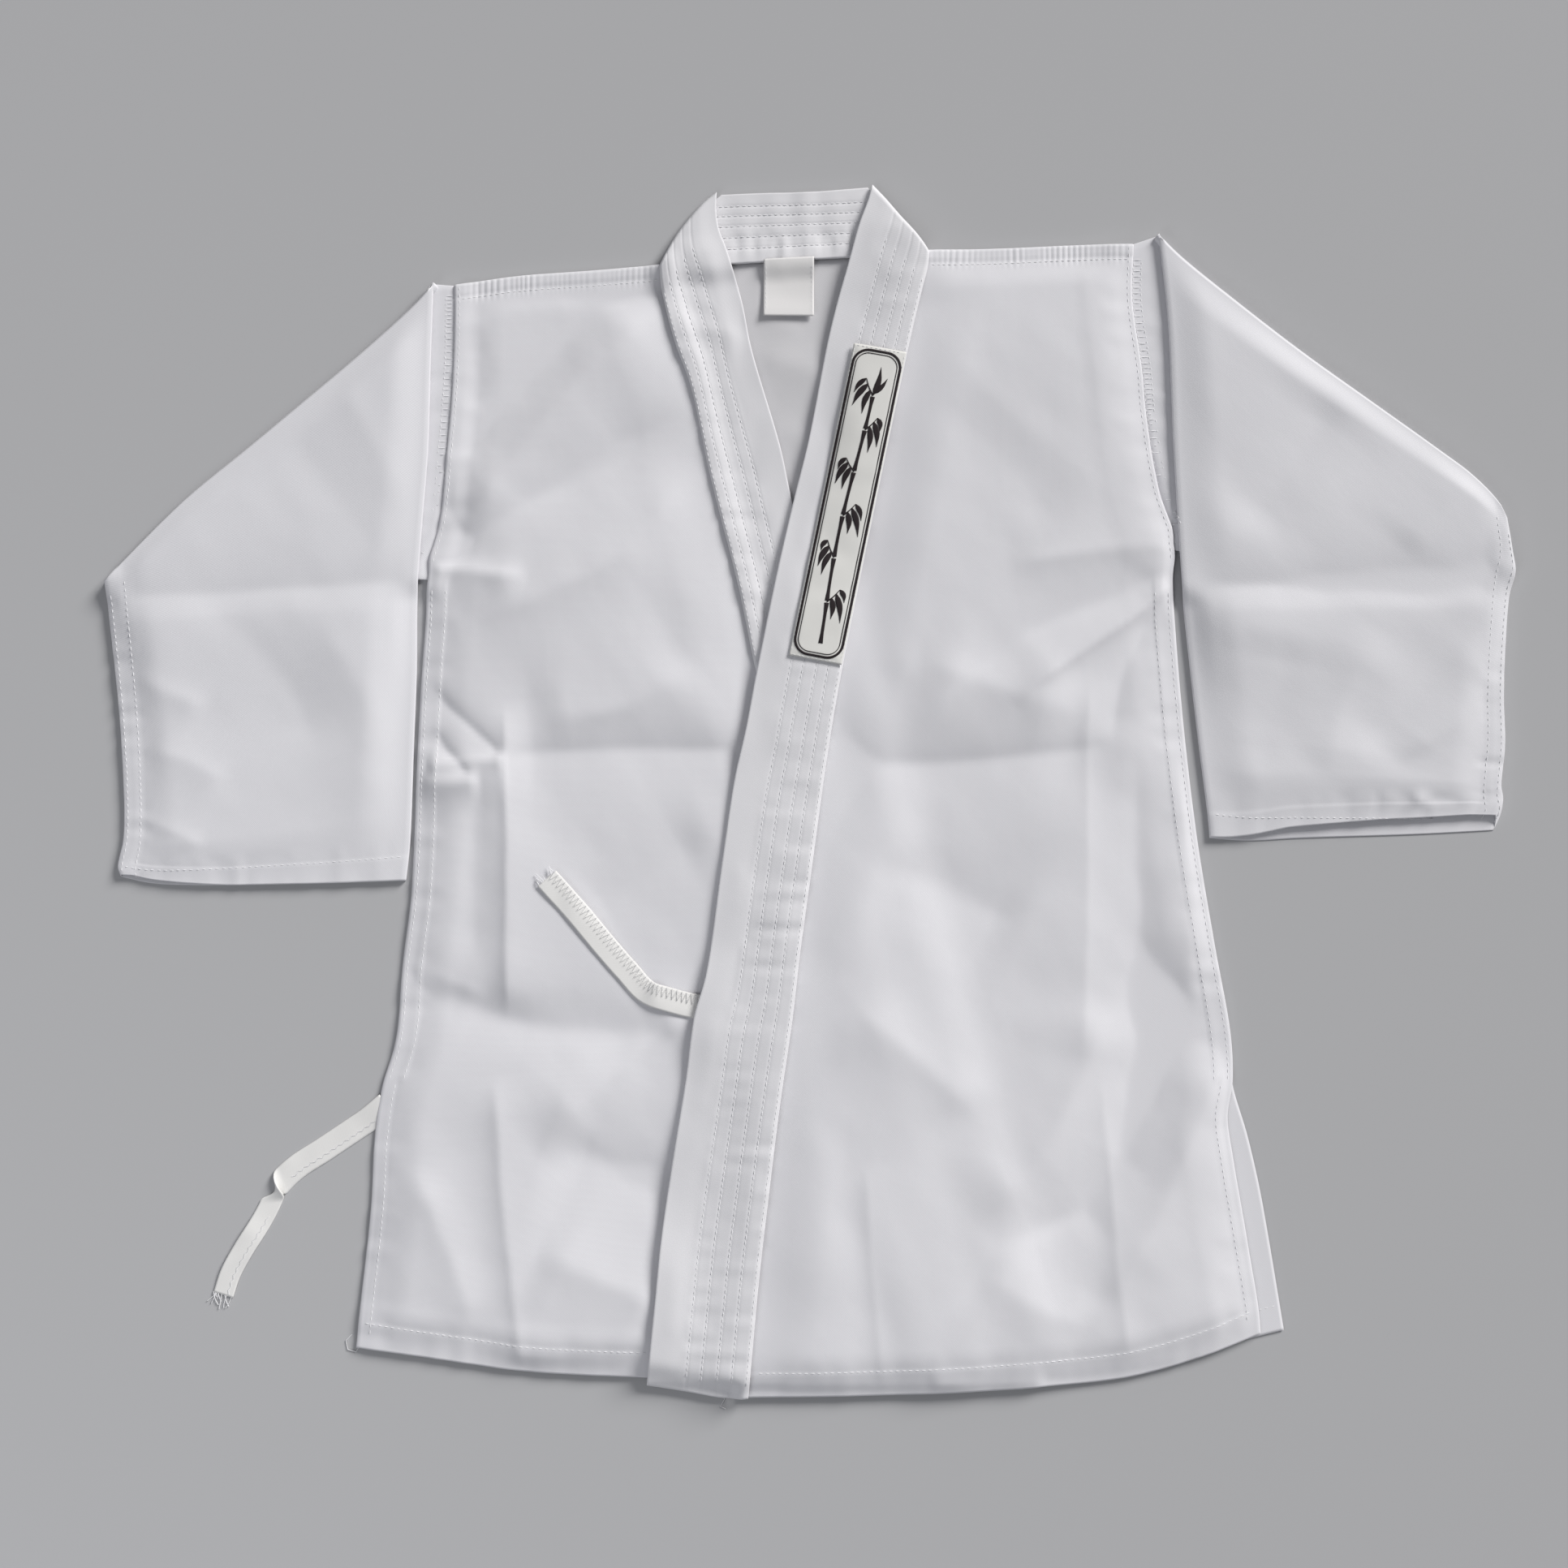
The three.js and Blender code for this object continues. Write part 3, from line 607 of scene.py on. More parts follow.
# Sleeves: flattened tubes folded forward over themselves along a diagonal
sleeveShape = {"foldGap": 0.4, "foldRows": 7, "underRows": 24, "underLength": 80.0, "overCell": 2.0,
               "inner": 62, "cuffHem": 13.0, "seamStrip": 10.0, "step": 12.0, "bridge": 75.0, "width": 142.0,
               "wall": 0.5, "armholeRows": (2.6, 6.6)}
sleeveLift = {"loft": 3.1, "softFolds": 1.9, "pressedFolds": 1.3, "crumple": 1.1, "cuffHem": 0.5,
              "seamStrip": 1.2, "band": 0.45, "cuffRipple": 0.3, "seamRipple": 0.34, "least": 0.25}


def upperRise(cut, x, y, u, v, width, bridge, seed):
    # how far the upper cloth of a folded sleeve stands over its resting level
    lift = sleeveLift
    fromCuff = (1 - v) * cut["overLength"]
    fromOuter = (1 - u) * width
    fromEdge = np.minimum(fromOuter, u * width) - 0.5
    band = np.maximum(lift["cuffHem"] * smooth((sleeveShape["cuffHem"] - fromCuff) / 2.0),
                      lift["seamStrip"] * smooth((sleeveShape["seamStrip"] - fromOuter) / 1.3))
    loft = lift["loft"] + lift["softFolds"] * creases(x, y, cut["creases"])
    loft = loft + crumple(x, y, seed, lift["crumple"])
    loft = loft + lift["pressedFolds"] * creases(x, y, cut["pressed"], 0.05, 0.08, 0.5)
    ripple = lift["cuffRipple"] * softNoise(x, y * 0.15, 4.6, seed + 7) * smooth((24 - fromCuff) / 9)
    ripple = ripple + lift["seamRipple"] * softNoise(x * 0.2, y, 5.2, seed + 8) * smooth((16 - fromOuter) / 5)
    gathered = np.exp(-((u - cut["gatherAt"]) / 0.13) ** 2) * np.exp(-((fromCuff - 14) / 7) ** 2)
    ripple = ripple + cut["gather"] * gathered * (0.5 + softNoise(x, y * 0.3, 3.9, seed + 9))
    hold = smooth(fromEdge / 27) * smooth((v * cut["overLength"] + 1) / 24)
    hold = hold * (0.08 + 0.92 * smooth(fromCuff / 34))
    bridged = bridge * smooth(fromEdge / 14)
    return settled(loft) * hold + lift["band"] * band + ripple + lift["least"] + bridged


def sleeveStitches(name, cut, over, armhole, outward, seed):
    cuffV = 1 - (sleeveShape["cuffHem"] - 1) / cut["overLength"]
    lines = stitchLines(pathInPatch(over, np.linspace(0.02, 0.98, 60), cuffV), seed)
    for row, fromOuter in enumerate((sleeveShape["seamStrip"] - 1, 2.2)):
        path = pathInPatch(over, 1 - fromOuter / sleeveShape["width"], np.linspace(0.06, 0.99, 90))
        lines += stitchLines(path, seed + 1 + row)
    # the armhole seam's two rows, on the sleeve's side of it, with rungs between them
    near, far = sleeveShape["armholeRows"]
    for row, out in enumerate((near, far)):
        seam = armhole["line"] + np.array([-outward * out, 0])
        lines += stitchLines(seam[8:-12], seed + 3 + row, "armhole")
    for x, y in armhole["line"][8:-12:3]:
        rung = np.array([[x - outward * out, y] for out in (near, (near + far) / 2, far)])
        height = sampleMap(pile["map"], rung[:, 0], rung[:, 1]) + np.array([-0.1, 0.16, -0.1])
        lines.append(np.column_stack([rung, height]))
    threadMesh(name, lines, threadRadius["seam"], threadWhite)


def buildSleeve(name, node, cut, outward, seed):
    half = cloth["sleeveHalf"]
    foldRadius = half + sleeveShape["foldGap"] / 2
    fold = edgeThrough(cut["fold"])
    direction = fold["line"][-1] - fold["line"][0]
    direction = direction / np.linalg.norm(direction)
    foldOut = np.array([-direction[1], direction[0]]) * outward
    inset = -foldOut * (foldRadius + half)
    foldIn = shifted(fold, *inset)

    def pulled(rows, atStart, atEnd, dx=0.0):
        edge = edgeThrough(rows)
        amount = (atStart * (1 - edge["share"]) + atEnd * edge["share"])[:, None]
        return {**edge, "line": edge["line"] + amount * inset + np.array([dx, 0])}

    away = -outward * 0.5
    armhole = shifted(edgeThrough(cut["armhole"], 0, armpit), away)
    under = {"top": armhole, "bottom": foldIn,
             "left": pulled(cut["topEdge"], 0, 1, away), "right": pulled(cut["underarm"], 0, 1, away)}
    over = {"top": foldIn, "bottom": edgeThrough(cut["cuff"]),
            "left": pulled(cut["inner"], 1, 0), "right": pulled(cut["outer"], 1, 0)}
    share, shift, level = sectionLoop(half, sleeveShape["inner"])
    rings, flats = [], []

    def ringPlan(patch, v):
        ends = patchAt(patch, np.array([0.0, 1.0]), np.full(2, v))
        width = np.linalg.norm(ends[1] - ends[0])
        u = share + shift / width
        return patchAt(patch, u, np.full(len(u), v)), u, width

    def addRing(plan, z, u, width, walked):
        rings.append(np.column_stack([plan, z]))
        flats.append(np.column_stack([u * width, np.full(len(u), walked)]))

    for v in np.linspace(0, 1, sleeveShape["underRows"]):
        plan, u, width = ringPlan(under, v)
        gathers = 0.3 * softNoise(plan[:, 0] * 0.3, plan[:, 1], 4.4, seed + 20)
        gathers = gathers * (1 - smooth((v - 0.1) / 0.3))
        z = half + level * half + np.clip(level, 0, 1) * gathers * smooth(v / 0.05)
        addRing(plan, z, u, width, v * sleeveShape["underLength"])
    plan, u, width = ringPlan(under, 1.0)
    for k in range(1, sleeveShape["foldRows"]):
        angle = math.pi * k / sleeveShape["foldRows"]
        out = foldRadius * math.sin(angle) - level * half * math.sin(angle)
        z = half + foldRadius * (1 - math.cos(angle)) + level * half * math.cos(angle)
        addRing(plan + out[:, None] * foldOut, z, u, width, sleeveShape["underLength"] + k)
    high = half + 2 * foldRadius
    stepX, stepY = zip(*cut["stepLine"])
    for v in sharesFor(cut["overLength"], sleeveShape["overCell"], 0, 16):
        plan, u, width = ringPlan(over, v)
        x, y = plan[:, 0], plan[:, 1]
        line = np.interp(x, stepX, stepY)
        past = smooth((line - y) / sleeveShape["step"])
        centre = high + (half - high) * past
        # the upper cloth bridges the step where the layers beneath it end
        bridge = (high - half) * past * (1 - smooth((line - y) / sleeveShape["bridge"]))
        opened = np.interp(u, *cut["opening"]) * (1 - level) / 2 * smooth((v - 0.7) / 0.3)
        rise = upperRise(cut, x, y, u, v, width, bridge, seed)
        rise = rise + 0.09 * opened * smooth((30 - (1 - v) * cut["overLength"]) / 26)
        z = centre - level * half + np.clip(-level, 0, 1) * rise
        walked = sleeveShape["underLength"] + sleeveShape["foldRows"] + 1 + v * cut["overLength"]
        addRing(np.column_stack([x, y + opened]), z, u, width, walked)
    points = np.array(rings)
    mesh = gridMesh(name, points, np.array(flats), tube=True)
    piece = addPiece(name, mesh, cottonWhite, [node], thick=sleeveShape["wall"], offset=-1.0)
    piece.modifiers["wall"].thickness_clamp = 1.0
    top = len(share) // 2 + 1
    stamp(points[:sleeveShape["underRows"], :top], 0.0)
    overStart = sleeveShape["underRows"] + sleeveShape["foldRows"] - 1
    sleevePile = pile["map"].copy()
    stamp(points[overStart:, top - 1:], 0.0)
    sleeveStitches(name + "Stitches", cut, over, armhole, outward, seed)
    pile["map"][:] = sleevePile


rightSleeveCut = {
    "armhole": rightSide, "overLength": 292.0,
    "topEdge": [(-172.2, 249.4), (-183.4, 248.4)],
    "fold": [(-183.4, 248.4), (-192.6, 238.2), (-219, 214.2), (-247.4, 190.2), (-276.2, 166.2),
             (-305.4, 142.2), (-329.8, 118.2), (-345.4, 101.8)],
    "underarm": [(-187.6, 104.4), (-250, 105), (-310, 104), (-345.4, 101.8)],
    "inner": [(-183.4, 248.4), (-185, 210.2), (-186.6, 166.2), (-189.4, 134.2), (-191.4, 110.2),
              (-192.6, 94.2), (-193.2, 58.2), (-194.8, 22.2), (-197, -25.8), (-199, -43.8)],
    "outer": [(-345.4, 101.8), (-343.8, 82.2), (-341.4, 58.2), (-339.4, 34.2), (-338.2, 10.2),
              (-337.8, -13.8), (-338.6, -25.8), (-341.2, -37.8), (-340, -42)],
    "cuff": [(-199, -43.8), (-251, -45.4), (-323, -45.4), (-340, -42)],
    "stepLine": [(-346, 103), (-260, 102.5), (-192, 106)],
    "gather": 0.0, "gatherAt": 0.5,
    "opening": ([0, 0.62, 0.82, 0.95, 1], [0, 0, 1.6, 2.4, 1.0]),
    "pressed": [(-2.4, 18, 20, (-345, 98), (-300, 96.5), (-240, 100), (-191, 104))],
    "creases": [(0.6, 6, 10, (-338, 60), (-296, 38)), (0.5, 6, 10, (-330, 24), (-286, 2)),
                (0.5, 5, 8, (-336, -10), (-296, -28)),
                (-0.7, 16, 20, (-306, 96), (-262, 60), (-238, 12)),
                (0.7, 14, 18, (-244, 90), (-214, 40), (-208, -20)),
                (-0.6, 18, 24, (-262, 184), (-208, 112)), (0.5, 9, 14, (-232, 204), (-196, 140)),
                (0.75, 12, 32, (-354, 85), (-300, 84), (-240, 87), (-184, 91))],
}
leftSleeveCut = {
    "armhole": leftSide, "overLength": 292.0,
    "topEdge": [(157, 269.4), (170.2, 272.2)],
    "fold": [(170.2, 272.2), (180.2, 262.2), (209.8, 238.2), (241, 214.2), (274.6, 190.2),
             (308.2, 166.2), (324.2, 154.2), (337, 141), (341.6, 132)],
    "underarm": [(179.4, 119), (250, 109), (318, 111), (341.6, 132)],
    "inner": [(170.2, 272.2), (175, 230), (178, 170), (181.6, 115.8), (183.4, 94.2), (187.4, 58.2),
              (191.8, 22.2), (196.6, -13.8), (197.4, -23)],
    "outer": [(341.6, 132), (344.2, 118.2), (346, 106.2), (343.8, 94.2), (342.2, 70.2), (341.8, 46.2),
              (342.6, 22.2), (341, -1.8), (342, -10), (338.6, -19)],
    "cuff": [(197.4, -23), (217, -24.2), (241, -23), (301, -21), (338.6, -19)],
    "stepLine": [(181, 102), (250, 104.5), (318, 107.5), (347, 110)],
    "gather": 1.1, "gatherAt": 0.73,
    "opening": ([0, 0.06, 0.27, 0.6, 0.9, 1], [0.4, 1.0, 5.6, 8.0, 8.4, 7.4]),
    "pressed": [(-3.3, 17, 22, (181, 100), (240, 102.5), (300, 104), (345, 107))],
    "creases": [(1.0, 8, 14, (344, 74), (324, 44), (290, 10)),
                (-0.9, 15, 19, (336, 96), (306, 62), (270, 12)),
                (0.8, 14, 18, (284, 80), (262, 50), (256, 0)), (-0.7, 18, 24, (234, 80), (222, 4)),
                (1.1, 12, 34, (170, 87), (240, 90), (300, 91), (356, 94)),
                (0.6, 10, 14, (326, 156), (290, 118)), (-1.1, 16, 22, (262, 196), (210, 126)),
                (0.9, 4, 8, (346, 96), (334, 50))],
}
buildSleeve("rightSleeve", "right_sleeve", rightSleeveCut, 1, 101)
buildSleeve("leftSleeve", "left_sleeve", leftSleeveCut, -1, 131)
print("sleeves folded")


# Neck stretch of the band: its inner face shows, stitched in rows
collarShape = {"rows": (7.6, 12.8, 18.4, 24.0, 29.6), "inner": 90, "depth": 36.5}
neckSeam = shifted(edgeThrough(shoulders, neckRight, neckLeft), 0, -1.0)
collarTop = edgeThrough([(-45.8, 295.8), (-28, 295.2), (-9.8, 295.4), (12, 296.6), (31, 299.4)])


def reversedEdge(edge):
    return {**edge, "share": 1 - edge["share"][::-1], "line": edge["line"][::-1]}


collarPatch = {"top": collarTop, "bottom": neckSeam,
               "left": shifted(reversedEdge(edgeThrough(rightTurn)), 2.2, -1.4),
               "right": shifted(edgeThrough(leftTurn), -2.2, -1.4)}
for end, share in (("top", 0.0), ("bottom", 1.0)):
    start, stop = along(collarPatch["left"], share), along(collarPatch["right"], share)
    collarPatch[end] = edgeThrough([start, *along(collarPatch[end], np.array([0.3, 0.6])), stop])


def collarRelief(plan, u, v, width):
    down = v * collarShape["depth"]
    grooves = sum(np.exp(-((down - d) / 0.6) ** 2) for d in collarShape["rows"])
    ripple = softNoise(plan[..., 0], plan[..., 1] * 0.3, 3.8, 41) * smooth((down - 18) / 9)
    height = 0.7 - 0.3 * grooves + 0.6 * ripple + 0.34 * softNoise(plan[..., 0], plan[..., 1] * 0.4, 7.5, 42)
    return height * (0.25 + 0.75 * smooth((0.5 - np.abs(u - 0.5)) * width / 14))


collar, _ = layBand("collarBand", collarPatch, sharesFor(38, 0.9), collarShape["inner"], collarRelief,
                    bandWhite, ["collar_back"])
collarLines = []
for number, down in enumerate(collarShape["rows"]):
    path = pathInPatch(collarPatch, np.linspace(0.03, 0.97, 50), down / collarShape["depth"])
    collarLines += stitchLines(path, 50 + number, "collar")
threadMesh("collarStitches", collarLines, threadRadius["band"], threadWhite)

# Blank label sewn under the collar seam
labelShape = {"left": [(-22.6, 262.4), (-22.8, 234.6)], "right": [(2.2, 263.6), (2.2, 234.4)],
              "width": 25, "length": 27, "thick": 0.35}
labelPatch = strip(edgeThrough(labelShape["left"]), edgeThrough(labelShape["right"]))


def labelRelief(plan, u, v):
    edge = np.minimum(np.minimum(u, 1 - u) * labelShape["width"], (1 - v) * labelShape["length"])
    hem = 0.05 * smooth((1.8 - edge) / 0.8)
    return 0.1 + 0.9 * smooth((v - 0.45) / 0.55) ** 2 + 0.3 * (2 * u - 1) ** 2 * v + hem


label, _ = laySheet("neckLabel", labelPatch, np.linspace(0, 1, 27), np.linspace(0, 1, 30), labelRelief,
                    labelWhite, ["neck_label"], thick=labelShape["thick"])
labelLines = stitchLines([(-21.6, 259.6), (-21.4, 236)], 61, "label")
labelLines += stitchLines([(1.2, 260.4), (1.2, 236)], 62, "label")
threadMesh("labelStitches", labelLines, threadRadius["label"], threadWhite)
print("collar and label laid")


# Fronts
frontShape = {"hem": 14.0, "sideStrip": 10.0, "ventStrip": 6.5, "ventTop": -143.0, "seamTop": 108,
              "shoulderSeam": 5.6, "underBand": 2.5, "overSleeve": 2.0}
frontLift = {"loft": 3.7, "crumple": 1.35, "softFolds": 2.05, "pressedFolds": 1.55, "band": 0.34,
             "shoulderFold": 0.3, "groove": 0.16, "gathers": 0.22, "hemPucker": 0.24, "sidePucker": 0.3,
             "bandPucker": 0.14, "least": 0.1}
# each fold row: height, spread to the left and right of the line's way, then its points
rightPressed = [
    (-2.4, 14, 32, (-160, 19), (-96, 20.5), (-30, 20), (24, 20)),
    (1.7, 20, 6, (-150, 46), (-149.5, 10), (-149, -60), (-150, -116)),
    (1.5, 22, 7, (-156, -138), (-152, -180), (-147, -236), (-139, -300)),
    (-1.1, 3.5, 8, (-188, 52), (-150, 17)), (1.5, 4, 9, (-190, 13), (-148, 17)),
]
rightSoft = [
    (-0.9, 12, 14, (-166, 10), (-164, -90)), (-1.0, 3, 6, (-190, 32), (-168, 8)),
    (1.0, 4, 8, (-196, 4), (-162, 6)), (0.6, 6, 10, (-200, -84), (-160, -100)),
    (-2.3, 16, 20, (-66, 270), (-128, 214), (-190, 150)),
    (2.6, 17, 18, (-60, 250), (-124, 190), (-180, 118)),
    (-2.0, 14, 18, (-60, 190), (-132, 146), (-200, 106)),
    (1.3, 5, 10, (-200, 111), (-172, 111), (-138, 103)),
    (1.5, 14, 18, (-54, 160), (-100, 112), (-168, 82)),
    (-2.4, 18, 22, (-214, -90), (-135, -114), (-40, -120)),
    (2.4, 14, 18, (-44, -100), (-90, -130), (-134, -178)),
    (-2.2, 20, 24, (-130, -172), (-84, -186), (-40, -204)), (1.5, 16, 20, (-134, -226), (-70, -258)),
    (1.3, 14, 18, (-56, 66), (-90, 42), (-138, 36)), (-1.2, 18, 22, (-46, -20), (-120, -64)),
    (1.2, 12, 16, (-194, -180), (-164, -270)),
]
leftPressed = [
    (-2.4, 14, 32, (-60, 12), (9, 13), (81, 15.4), (160, 24)),
    (1.2, 12, 20, (138, 64), (137, 20), (136.5, -60), (134, -138)), (0.5, 9, 5, (26, -180), (36, -296)),
    (0.6, 9, 6, (143, -140), (157, -286)),
]
leftSoft = [
    (0.9, 10, 14, (183, 26), (190, -120)), (-1.2, 14, 14, (162, 26), (163, -124)),
    (0.7, 8, 8, (192, 122), (150, 120), (96, 112)), (-1.3, 10, 16, (190, 116), (121, 86), (56, 44)),
    (1.7, 4.5, 13, (196, 114), (160, 90), (136, 72), (100, 40)),
    (-1.0, 8, 10, (176, 94), (154, 60), (150, 20)),
    (-2.5, 18, 20, (186, -70), (161, -158), (141, -200), (80, -226)),
    (1.7, 15, 18, (148, -100), (121, -166), (80, -214)),
    (1.7, 15, 18, (204, -118), (181, -190), (146, -254)), (1.5, 16, 20, (50, 66), (104, 46), (136, 38)),
    (-1.3, 18, 22, (30, -30), (110, -70)), (1.3, 14, 18, (20, -100), (86, -160)),
    (0.5, 16, 20, (54, 236), (104, 180), (160, 138)), (-0.5, 16, 20, (60, 196), (130, 130)),
    (1.1, 14, 18, (80, -236), (136, -268)),
]


def frontRelief(patch, side, pressed, soft, seed, inside):
    # side is -1 where the side seam is the patch's left edge
    lift = frontLift

    def relief(plan, u, v):
        x, y = plan[..., 0], plan[..., 1]
        outer = patch["left"] if side < 0 else patch["right"]
        fromSide = np.abs(x - along(outer, v)[..., 0])
        fromBand = np.abs(x - along(patch["right"] if side < 0 else patch["left"], v)[..., 0])
        fromHem = y - along(patch["bottom"], u)[..., 1]
        fromShoulder = along(patch["top"], u)[..., 1] - y
        stripWidth = np.where(y > frontShape["ventTop"], frontShape["sideStrip"], frontShape["ventStrip"])
        sideBand = smooth((frontShape["seamTop"] - y) / 8) * smooth((stripWidth - fromSide) / 1.6)
        band = np.maximum(sideBand, smooth((frontShape["hem"] - fromHem) / 2.2))
        shoulderFold = smooth((frontShape["shoulderSeam"] - fromShoulder) / 1.2)
        groove = np.exp(-((fromShoulder - frontShape["shoulderSeam"]) / 1.3) ** 2)
        gathers = np.sin(2.25 * (x + 1.3 * softNoise(x, y * 0.2, 9, seed + 5)))
        gathers = gathers * (0.5 + 0.5 * softNoise(x, y * 0.1, 8, seed + 7))
        gathers = gathers + 0.6 * softNoise(x, y * 0.2, 5, seed + 10)
        gathers = gathers * smooth((9.5 - np.abs(fromShoulder - 2)) / 6)
        hemPucker = softNoise(x, y * 0.2, 6.5, seed + 6) * smooth((24 - fromHem) / 10)
        sidePucker = softNoise(x * 0.2, y, 6.0, seed + 8) * smooth((18 - fromSide) / 8)
        bandPucker = softNoise(x * 0.3, y, 5.0, seed + 9) * smooth((9 - fromBand) / 6)
        folds = lift["softFolds"] * creases(x, y, soft)
        folds = folds + lift["pressedFolds"] * creases(x, y, pressed, 0.05, 0.14, 0.35)
        folds = folds * smooth(fromSide / 6) * smooth(fromHem / 10)
        loft = lift["loft"] + crumple(x, y, seed, lift["crumple"])
        hold = smooth((fromSide + 2) / 26) * smooth((fromHem + 2) / 24) * smooth(fromShoulder / 20)
        hold = (0.05 + 0.95 * hold) * (0.3 + 0.7 * smooth(fromBand / 34))
        raised = settled(loft * hold + folds * smooth(fromShoulder / 14)) * inside(x, y)
        level = lift["least"] + 0.5 * smooth(fromSide / 10)
        return (raised + lift["band"] * band + lift["shoulderFold"] * shoulderFold - lift["groove"] * groove
                + lift["gathers"] * gathers + lift["hemPucker"] * hemPucker + lift["sidePucker"] * sidePucker
                + lift["bandPucker"] * bandPucker + level)
    return relief


def joinedAbove(vent):
    return lambda y: 0.45 + 0.55 * smooth((y - vent) / 10)


def widened(edge, dx, until):
    # moves the armhole stretch out over the sleeve
    share = smooth((edge["line"][:, 1] - until) / 10)[:, None]
    return {**edge, "line": edge["line"] + share * np.array([dx, 0])}


rightFrontPatch = {
    "top": edgeThrough(shoulders, 0, neckRight), "bottom": edgeThrough(rightHem),
    "left": widened(edgeThrough(rightSide), -frontShape["overSleeve"], 106),
    "right": shifted(edgeThrough(rightSewn), frontShape["underBand"])}
leftFrontPatch = {
    "top": edgeThrough(shoulders, neckLeft), "bottom": edgeThrough(leftHem),
    "left": shifted(edgeThrough(leftSewn), -frontShape["underBand"]),
    "right": widened(edgeThrough(leftSide), frontShape["overSleeve"], 121)}
for patch in (rightFrontPatch, leftFrontPatch):
    # the ends follow where the long edges were moved to
    for end, share in (("top", 0.0), ("bottom", 1.0)):
        edge = patch[end]
        start = along(patch["left"], share) - edge["line"][0]
        stop = along(patch["right"], share) - edge["line"][-1]
        mix = edge["share"][:, None]
        patch[end] = {**edge, "line": edge["line"] + start * (1 - mix) + stop * mix}

frontVs = sharesFor(550, 2.15, 14, 18)
rightUs = sharesFor(190, 1.2, 12, 3)
leftUs = sharesFor(190, 1.2, 3, 12)


def underLeftFront(x, y):
    # less loft where the left front covers the right one
    return 1 - 0.85 * smooth((x + 34 + 0.12 * y) / 26)


rightFront, _ = laySheet(
    "rightFront", rightFrontPatch, rightUs, frontVs,
    frontRelief(rightFrontPatch, -1, rightPressed, rightSoft, 201, underLeftFront),
    cottonWhite, ["right_front"],
    curl={"side": -1, "top": True, "joined": joinedAbove(frontShape["ventTop"])}, flatTurn=2.0)


def frontStitches(name, patch, side, seed):
    # side seam, vent, hem, shoulder and armhole rows of one front
    lines = []
    outer = patch["left"] if side < 0 else patch["right"]
    inward = np.array([-side, 0])
    y = outer["line"][:, 1]
    joined = outer["line"][(y < 100) & (y > frontShape["ventTop"])]
    vent = outer["line"][(y < frontShape["ventTop"]) & (y > outer["line"][-1, 1] + 4)]
    arm = outer["line"][y > 112]
    rows = ((joined, frontShape["sideStrip"] - 1), (joined, 2.0), (vent, 5.6), (arm, 1.6))
    for number, (row, fromEdge) in enumerate(rows):
        lines += stitchLines(row + inward * fromEdge, seed + number)
    hem = patch["bottom"]["line"] + np.array([0, frontShape["hem"] - 1.2])
    lines += stitchLines(hem[3:-3], seed + 5)
    top = patch["top"]["line"] - np.array([0, frontShape["shoulderSeam"] + 1.4])
    lines += stitchLines(top[2:-2], seed + 6, "shoulder")
    threadMesh(name, lines, threadRadius["seam"], threadWhite)


frontStitches("rightFrontStitches", rightFrontPatch, -1, 230)
print("right front laid")


# Lapels
lapelShape = {"rows": (17.0, 23.6, 30.6, 37.0), "rowsWidth": 45.0, "plain": 13, "sewnRow": 1.6, "inner": 64,
              "roll": 1.8}
lapelLift = {"loft": 0.4, "groove": 0.22, "cross": 0.42, "least": 0.34}


def lapelRelief(freeOnLeft, creaseRows, seed):
    def relief(plan, u, v, width):
        x, y = plan[..., 0], plan[..., 1]
        fromFree = (u if freeOnLeft else 1 - u) * width
        fromSewn = width - fromFree
        scale = width / lapelShape["rowsWidth"]
        grooves = sum(np.exp(-((fromFree - d * scale) / 0.55) ** 2) for d in lapelShape["rows"])
        grooves = grooves + 0.5 * np.exp(-((fromSewn - lapelShape["sewnRow"]) / 0.5) ** 2)
        quilted = smooth((fromFree - lapelShape["plain"] * scale) / 5)
        patchy = 0.5 + 0.5 * smooth(0.5 + 1.2 * softNoise(x, y, 30, seed + 4))
        cross = softNoise(x * 0.3, y, 4.6, seed) * quilted * patchy * lapelLift["cross"]
        soft = 0.5 * softNoise(x * 0.6, y * 0.7, 26, seed + 1) + 0.25 * softNoise(x, y, 11, seed + 2)
        loft = settled(lapelLift["loft"] + 0.9 * soft + creases(x, y, creaseRows, 0.1))
        loft = loft * smooth(np.minimum(fromFree, fromSewn) / 12)
        return loft - lapelLift["groove"] * grooves + cross + lapelLift["least"]
    return relief


def lapelStitches(name, patch, freeOnLeft, vs, seed):
    width = np.linalg.norm(along(patch["right"], vs) - along(patch["left"], vs), axis=1)
    lines = []
    marks = [d * width / lapelShape["rowsWidth"] for d in lapelShape["rows"]]
    marks.append(width - lapelShape["sewnRow"])
    for number, fromFree in enumerate(marks):
        share = fromFree / width
        path = patchAt(patch, share if freeOnLeft else 1 - share, vs)
        lines += stitchLines(path[2:-2], seed + number, "lapel", lift=0.1)
    threadMesh(name, lines, threadRadius["band"], threadWhite)


rightLapelHem = [(64.2, -289.8), (88, -290.2), (111, -289.8)]
leftLapelHem = [(-80.2, -292.2), (-59, -295.8), (-41.8, -298.6), (-30.2, -298.4)]
rightLapelPatch = {"top": edgeThrough(rightTurn), "bottom": edgeThrough(rightLapelHem),
                   "left": edgeThrough(rightSewn), "right": edgeThrough(rightFree)}
leftLapelPatch = {"top": edgeThrough(leftTurn), "bottom": edgeThrough(leftLapelHem),
                  "left": edgeThrough(leftFree), "right": edgeThrough(leftSewn)}
lapelVs = sharesFor(570, 1.9, 8, 4)
rightLapel, _ = layBand("rightLapel", rightLapelPatch, lapelVs, lapelShape["inner"],
                        lapelRelief(False, [(1.0, 8, 12, (-70, 236), (-28, 224))], 301),
                        bandWhite, ["right_lapel"], roll=lapelShape["roll"], thinAt=0.0)
